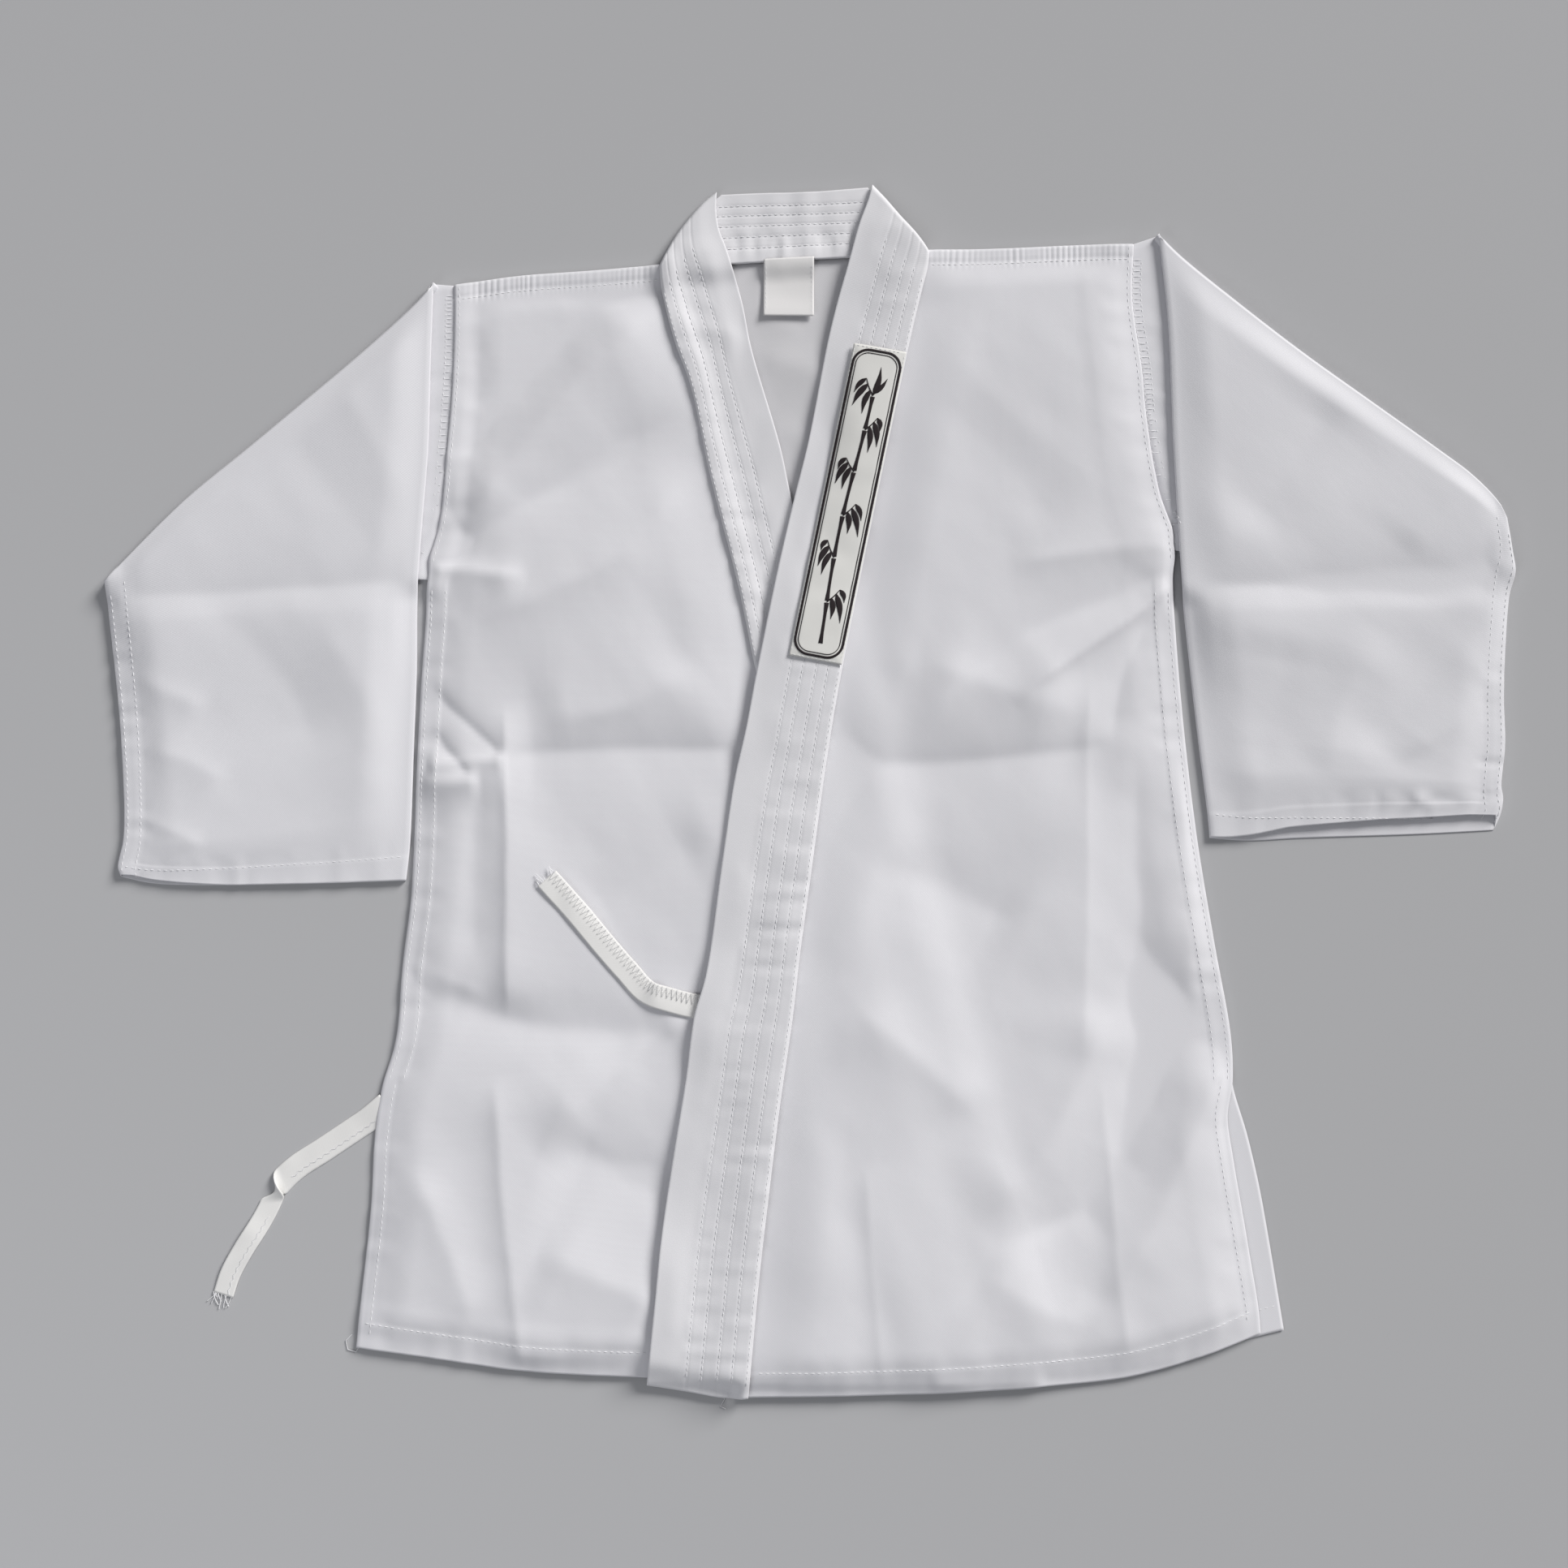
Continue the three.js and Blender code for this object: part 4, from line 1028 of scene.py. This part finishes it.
lapelStitches("rightLapelStitches", rightLapelPatch, False, np.linspace(0.02, 0.99, 300), 320)


# Front tie, sewn under the left lapel's edge
tieShape = {"width": 12.0, "thick": 0.45, "columns": 13, "slant": 0.022, "standing": 0.25}


def tapePoints(centre, twist, heights, count, narrow=1.0):
    # a flat tape along a plan line; twist gives its turn about that line in radians
    edge = edgeThrough(centre)
    s = np.linspace(0, 1, count)
    mid = along(edge, s)
    tangent = np.gradient(mid, axis=0)
    tangent = tangent / np.linalg.norm(tangent, axis=1)[:, None]
    normal = np.column_stack([tangent[:, 1], -tangent[:, 0]])
    across = np.linspace(-1, 1, tieShape["columns"])
    turn = twist(s[:, None] + tieShape["slant"] * across[None, :])
    half = tieShape["width"] / 2 * np.interp(s, [0, 0.5, 0.62, 1], [1, 1, narrow, narrow])[:, None]
    plan = mid[:, None, :] + (np.cos(turn) * across * half)[..., None] * normal[:, None, :]
    tilt = tieShape["standing"] * (np.sin(turn) * across + np.abs(np.sin(turn))) * half
    z = heights(plan, s[:, None], across[None, :]) + tilt
    flat = np.dstack(np.broadcast_arrays(across * half, s[:, None] * edge["length"]))
    return np.dstack([plan, z]), flat


def overlockLines(points, column, columnIn, rise):
    # thread zigzag over one edge of a tape
    return [[row[column if k % 2 else columnIn] + np.array([0, 0, rise]) for k, row in enumerate(points)]]


def frayLines(points, seed, count=9, reach=5.5):
    # loose yarns past a tape's cut end
    rng = np.random.default_rng(seed)
    end, before = points[-1], points[-4]
    lines = []
    for _ in range(count):
        k = rng.integers(0, len(end))
        way = (end[k] - before[k])[:2]
        way = way / (np.linalg.norm(way) + 1e-9)
        swing = rng.uniform(-0.5, 0.5)
        way = np.array([way[0] - swing * way[1], way[1] + swing * way[0]])
        length = reach * rng.uniform(0.25, 1.0)
        bend = rng.uniform(-0.35, 0.35)
        line = []
        for t in (0, 0.35, 0.7, 1.0):
            xy = end[k][:2] + way * length * t + np.array([-way[1], way[0]]) * bend * length * t * t
            line.append([xy[0], xy[1], max(end[k][2] + 0.3 - 0.2 * t, 0.3)])
        lines.append(np.array(line))
    return lines


frontTieLine = [(-40, -104.4), (-55.4, -105.4), (-68, -102.6), (-80.2, -98.4), (-90, -88),
                (-99.8, -76.8), (-114, -59.6), (-129.2, -42.6)]
restUnderTie = restingMap(4)


def frontTieHeight(plan, s, across):
    x, y = plan[..., 0], plan[..., 1]
    fold = 1.3 * np.exp(-((s - 0.33) / 0.035) ** 2) * (0.6 + 0.4 * across)
    lift = 0.1 + 0.35 * softNoise(x, y, 14, 351) ** 2 + 0.4 * smooth((s - 0.55) / 0.45) * (1 + 0.6 * across)
    return sampleMap(restUnderTie, x, y) + cloth["gap"] + lift + fold


tiePoints, tieFlat = tapePoints(frontTieLine, np.zeros_like, frontTieHeight, 92)
frontTie = addPiece("frontTie", gridMesh("frontTie", tiePoints, tieFlat), tapeCream,
                    ["front_tie"], thick=tieShape["thick"])
stamp(tiePoints[:24], tieShape["thick"])
tieThreads = overlockLines(tiePoints, 12, 7, 0.55)
tieThreads += frayLines(tiePoints, 361)
threadMesh("frontTieThreads", tieThreads, threadRadius["seam"], threadWhite)
print("right lapel and front tie laid")


# Left front and lapel over everything
leftFront, _ = laySheet(
    "leftFront", leftFrontPatch, leftUs, frontVs,
    frontRelief(leftFrontPatch, 1, leftPressed, leftSoft, 211, lambda x, y: np.ones_like(x)),
    cottonWhite, ["left_front"],
    curl={"side": 1, "top": True, "joined": joinedAbove(frontShape["ventTop"])}, flatTurn=-3.0, reach=13,
    settle={"share": 0.4, "over": 14})
frontStitches("leftFrontStitches", leftFrontPatch, 1, 250)
leftLapel, _ = layBand(
    "leftLapel", leftLapelPatch, lapelVs, lapelShape["inner"],
    lapelRelief(True, [(-1.1, 10, 20, (-50, 20), (-14, 17), (24, 12))], 311),
    bandWhite, ["left_lapel"], roll=lapelShape["roll"], thinAt=1.0, reach=16,
    settle={"share": 0.85, "over": 12})
lapelStitches("leftLapelStitches", leftLapelPatch, True, np.linspace(0.02, 0.995, 320), 340)
print("left front and lapel laid")


# Chest patch with a plain rounded frame and a bamboo stem
patchShape = {"left": [(21.8, 220.2), (-10.2, 67)], "right": [(47.4, 215.4), (15.6, 62.2)],
              "width": 26.0, "length": 156.0, "thick": 0.5}
chestPatch = strip(edgeThrough(patchShape["left"]), edgeThrough(patchShape["right"]))


def chestRelief(plan, u, v):
    edge = np.minimum(np.minimum(u, 1 - u) * patchShape["width"], np.minimum(v, 1 - v) * patchShape["length"])
    return 0.05 + 0.5 * smooth(edge / 4) + 0.12 * softNoise(plan[..., 0], plan[..., 1], 12, 371)


chest, _ = laySheet("chestPatch", chestPatch, np.linspace(0, 1, 30), np.linspace(0, 1, 150), chestRelief,
                    patchCream, ["chest_patch"], thick=patchShape["thick"])
patchTop = pile["map"].copy()


def onPatch(across, down, rise):
    # patch millimetres to a place just over its face
    plan = patchAt(chestPatch, across / patchShape["width"], down / patchShape["length"])
    return np.dstack([plan, sampleMap(patchTop, plan[..., 0], plan[..., 1]) + rise])


def joinMeshes(name, meshes, material):
    bm = bmesh.new()
    for mesh in meshes:
        bm.from_mesh(mesh)
        bpy.data.meshes.remove(mesh)
    whole = bpy.data.meshes.new(name)
    bm.to_mesh(whole)
    bm.free()
    return addPiece(name, whole, material, thick=0.12)


def roundedFrame(inSide, inEnd, radius, width, rise):
    # a line round the patch with round corners
    w, h = patchShape["width"] - 2 * inSide, patchShape["length"] - 2 * inEnd
    corners = [(w - radius, radius, -90), (w - radius, h - radius, 0),
               (radius, h - radius, 90), (radius, radius, 180)]
    ring = []
    for cx, cy, start in corners:
        for angle in np.radians(np.linspace(start, start + 90, 10)):
            ring.append((cx, cy, math.cos(angle), math.sin(angle)))
    ring = np.array(ring + ring[:1])
    steps = [np.linspace(a, b, 12, endpoint=False) for a, b in zip(ring[:-1], ring[1:])]
    dense = np.concatenate(steps + [ring[-1:]])
    radii = np.array([radius, radius - width])[:, None]
    across = inSide + dense[:, 0] + radii * dense[:, 2]
    down = inEnd + dense[:, 1] + radii * dense[:, 3]
    points = onPatch(across, down, rise)
    return gridMesh("frameLine", points, np.dstack([across, down]))


def inkStroke(line, widths, rise, segments=28):
    # one brush-like stroke with a swelling width, in patch millimetres
    edge = edgeThrough(line)
    s = np.linspace(0, 1, segments)
    mid = along(edge, s)
    tangent = np.gradient(mid, axis=0)
    tangent = tangent / np.linalg.norm(tangent, axis=1)[:, None]
    normal = np.column_stack([-tangent[:, 1], tangent[:, 0]])
    half = np.interp(s, np.linspace(0, 1, len(widths)), widths) / 2
    rows = np.linspace(-1, 1, 5)
    across = mid[None, :, 0] + rows[:, None] * half * normal[None, :, 0]
    down = mid[None, :, 1] + rows[:, None] * half * normal[None, :, 1]
    return gridMesh("stroke", onPatch(across, down, rise), np.dstack([across, down]))


# A bamboo stem: joints up the patch, short twigs to alternate sides and slender leaves that hang from them
# each leaf row holds its share along the twig, angle, reach and width
bamboo = {"joints": (148, 127, 105, 84, 62, 41, 24), "leafSides": (1, -1, 1, -1, 1, -1),
          "leaves": ((0.35, 9, 12.5, 2.9), (0.7, 24, 13.5, 3.1), (1.0, 40, 9.0, 2.5)),
          "sideLimits": (4.9, 21.1)}


def stemAcross(down):
    return 13 + 1.3 * math.sin(down / 23.0 + 0.6)


bambooLeaves = []
inkMeshes = [roundedFrame(0.7, 1.5, 8.0, 1.2, 0.04), roundedFrame(2.6, 3.4, 6.2, 0.4, 0.04)]
for low, high in zip(bamboo["joints"][:-1], bamboo["joints"][1:]):
    line = [(stemAcross(d), d) for d in (low - 0.5, (low + high) / 2, high + 0.5)]
    inkMeshes.append(inkStroke(line, (2.2, 1.5, 1.4, 1.5, 2.3), 0.05))
leafJitter = np.random.default_rng(52)
for joint, side in zip(bamboo["joints"][1:], bamboo["leafSides"]):
    start = np.array([stemAcross(joint), joint])
    twig = start + np.array([side * leafJitter.uniform(4.6, 5.4), -leafJitter.uniform(5.5, 8)])
    middle = (start + twig) / 2 + (0.3 * side, 0.2)
    inkMeshes.append(inkStroke([start, middle, twig], (0.8, 0.55, 0.35), 0.06, 10))
    for share, angle, reach, width in bamboo["leaves"]:
        root = start + (twig - start) * share
        angle = math.radians(angle + leafJitter.uniform(-5, 5))
        reach = reach * leafJitter.uniform(0.85, 1.15)
        tip = root + np.array([side * math.sin(angle), math.cos(angle)]) * reach
        tip[0] = np.clip(tip[0], *bamboo["sideLimits"])
        bambooLeaves.append((root, tip, width))
topJoint = np.array([stemAcross(bamboo["joints"][-1]), bamboo["joints"][-1]])
bambooLeaves.append((topJoint, topJoint + (1.2, -14.5), 2.9))
bambooLeaves.append((topJoint + (0.3, -1), topJoint + (5.4, -9.5), 2.4))
for (startX, startY), (tipX, tipY), width in bambooLeaves:
    bend = 0.8 if tipX > startX else -0.8
    middle = ((startX + tipX) / 2 + bend, (startY + tipY) / 2 - 0.3)
    widths = (0.25, width * 0.85, width, width * 0.75, width * 0.35, 0.1)
    inkMeshes.append(inkStroke([(startX, startY), middle, (tipX, tipY)], widths, 0.08, 20))
joinMeshes("patchMotif", inkMeshes, patchInk)
patchLines = []
for u in (0.022, 0.978):
    patchLines += stitchLines(pathInPatch(chestPatch, u, np.linspace(0.01, 0.99, 60)), 381, "patch")
for v in (0.005, 0.995):
    patchLines += stitchLines(pathInPatch(chestPatch, np.linspace(0.04, 0.96, 20), v), 383, "patch")
threadMesh("patchStitches", patchLines, threadRadius["patch"], threadWhite)
print("patch sewn on")


# Side tie on the floor, from the top of the right vent, with a half turn in it
sideTieLine = [(-208.4, -154), (-218, -162), (-225, -166.8), (-240, -176.8), (-254, -186),
               (-262.4, -194.5), (-267.5, -206), (-272.5, -215), (-279.5, -226), (-286, -238),
               (-289.5, -248.4)]


def sideTieTwist(s):
    return math.pi * smooth((s - 0.5) / 0.1)


def sideTieHeight(plan, s, across):
    x, y = plan[..., 0], plan[..., 1]
    near = 1 - smooth(s / 0.16)
    lift = 0.35 + 0.7 * softNoise(x, y, 17, 391) ** 2 + 0.8 * np.exp(-((s - 0.8) / 0.08) ** 2)
    return lift + near * 1.2


sidePoints, sideFlat = tapePoints(sideTieLine, sideTieTwist, sideTieHeight, 130, narrow=0.84)
sideTie = addPiece("sideTie", gridMesh("sideTie", sidePoints, sideFlat), tapeCream,
                   ["side_tie"], thick=tieShape["thick"], offset=0.0)
sideThreads = overlockLines(sidePoints[:62:2], 3, 4, 0.3) + overlockLines(sidePoints[84::2], 8, 9, 0.3)
sideThreads += frayLines(sidePoints, 395, count=12, reach=8.0)
threadMesh("sideTieThreads", sideThreads, threadRadius["seam"], threadWhite)

# Loose sewing threads at the hem
looseThreads = [
    [(-226, -268, 0.4), (-229, -271, 0.4), (-228, -275.4, 0.5), (-224, -276.6, 0.6), (-221.6, -273, 1.6)],
    [(-43, -296, 2.4), (-42, -300, 1.0), (-44, -303.6, 0.4), (-41.4, -304.8, 0.4)]]
threadMesh("looseThreads", looseThreads, threadRadius["loose"], threadWhite, sides=1)
threadMesh("backStitches", backStitches, threadRadius["seam"], threadWhite)
print("ties and threads laid")


# Floor, light and camera
stageShape = {"floorSize": 9.0, "floorColour": (0.46, 0.46, 0.47, 1.0), "skyColour": (0.93, 0.95, 1.0, 1.0),
              "skyStrength": 0.20, "viewWidth": 0.7728, "sensor": 36.0, "distance": 1.2,
              "centre": (-0.0126, 0.0031), "facing": 0.003}
bpy.ops.mesh.primitive_plane_add(size=stageShape["floorSize"], location=(0, 0, 0))
floor = bpy.context.object
floor.name = "paleFloor"
floorPaint = bpy.data.materials.new("floorPaint")
floorPaint.use_nodes = True
floorShader = floorPaint.node_tree.nodes["Principled BSDF"]
floorShader.inputs["Base Color"].default_value = stageShape["floorColour"]
floorShader.inputs["Roughness"].default_value = 0.9
floor.data.materials.append(floorPaint)

world = bpy.data.worlds.new("studio")
bpy.context.scene.world = world
world.use_nodes = True
sky = world.node_tree.nodes["Background"]
sky.inputs["Color"].default_value = stageShape["skyColour"]
sky.inputs["Strength"].default_value = stageShape["skyStrength"]


def areaLight(name, place, size, power, colour):
    data = bpy.data.lights.new(name, "AREA")
    data.shape = "DISK"
    data.size = size
    data.energy = power
    data.color = colour
    lamp = bpy.data.objects.new(name, data)
    bpy.context.scene.collection.objects.link(lamp)
    lamp.location = place
    lamp.visible_camera = False
    # turned towards the jacket
    x, y, z = np.array(place) / np.linalg.norm(place)
    lamp.rotation_euler = (math.acos(z), 0, math.atan2(y, x) + math.pi / 2)


areaLight("keyLight", (12.0, 12.0, 8.4), 8.0, 4320, (1.0, 0.99, 0.975))
areaLight("fillLight", (-0.75, -0.85, 1.1), 1.0, 5.1, (0.94, 0.965, 1.0))

cameraData = bpy.data.cameras.new("photoCamera")
camera = bpy.data.objects.new("photoCamera", cameraData)
bpy.context.scene.collection.objects.link(camera)
bpy.context.scene.camera = camera
cameraData.sensor_width = stageShape["sensor"]
cameraData.lens = stageShape["sensor"] * stageShape["distance"] / stageShape["viewWidth"]
cameraData.clip_end = 20.0
camera.location = (*stageShape["centre"], stageShape["distance"] + stageShape["facing"])
camera.rotation_euler = (0, 0, 0)
bpy.context.scene.view_settings.view_transform = "Standard"
print("stage set")
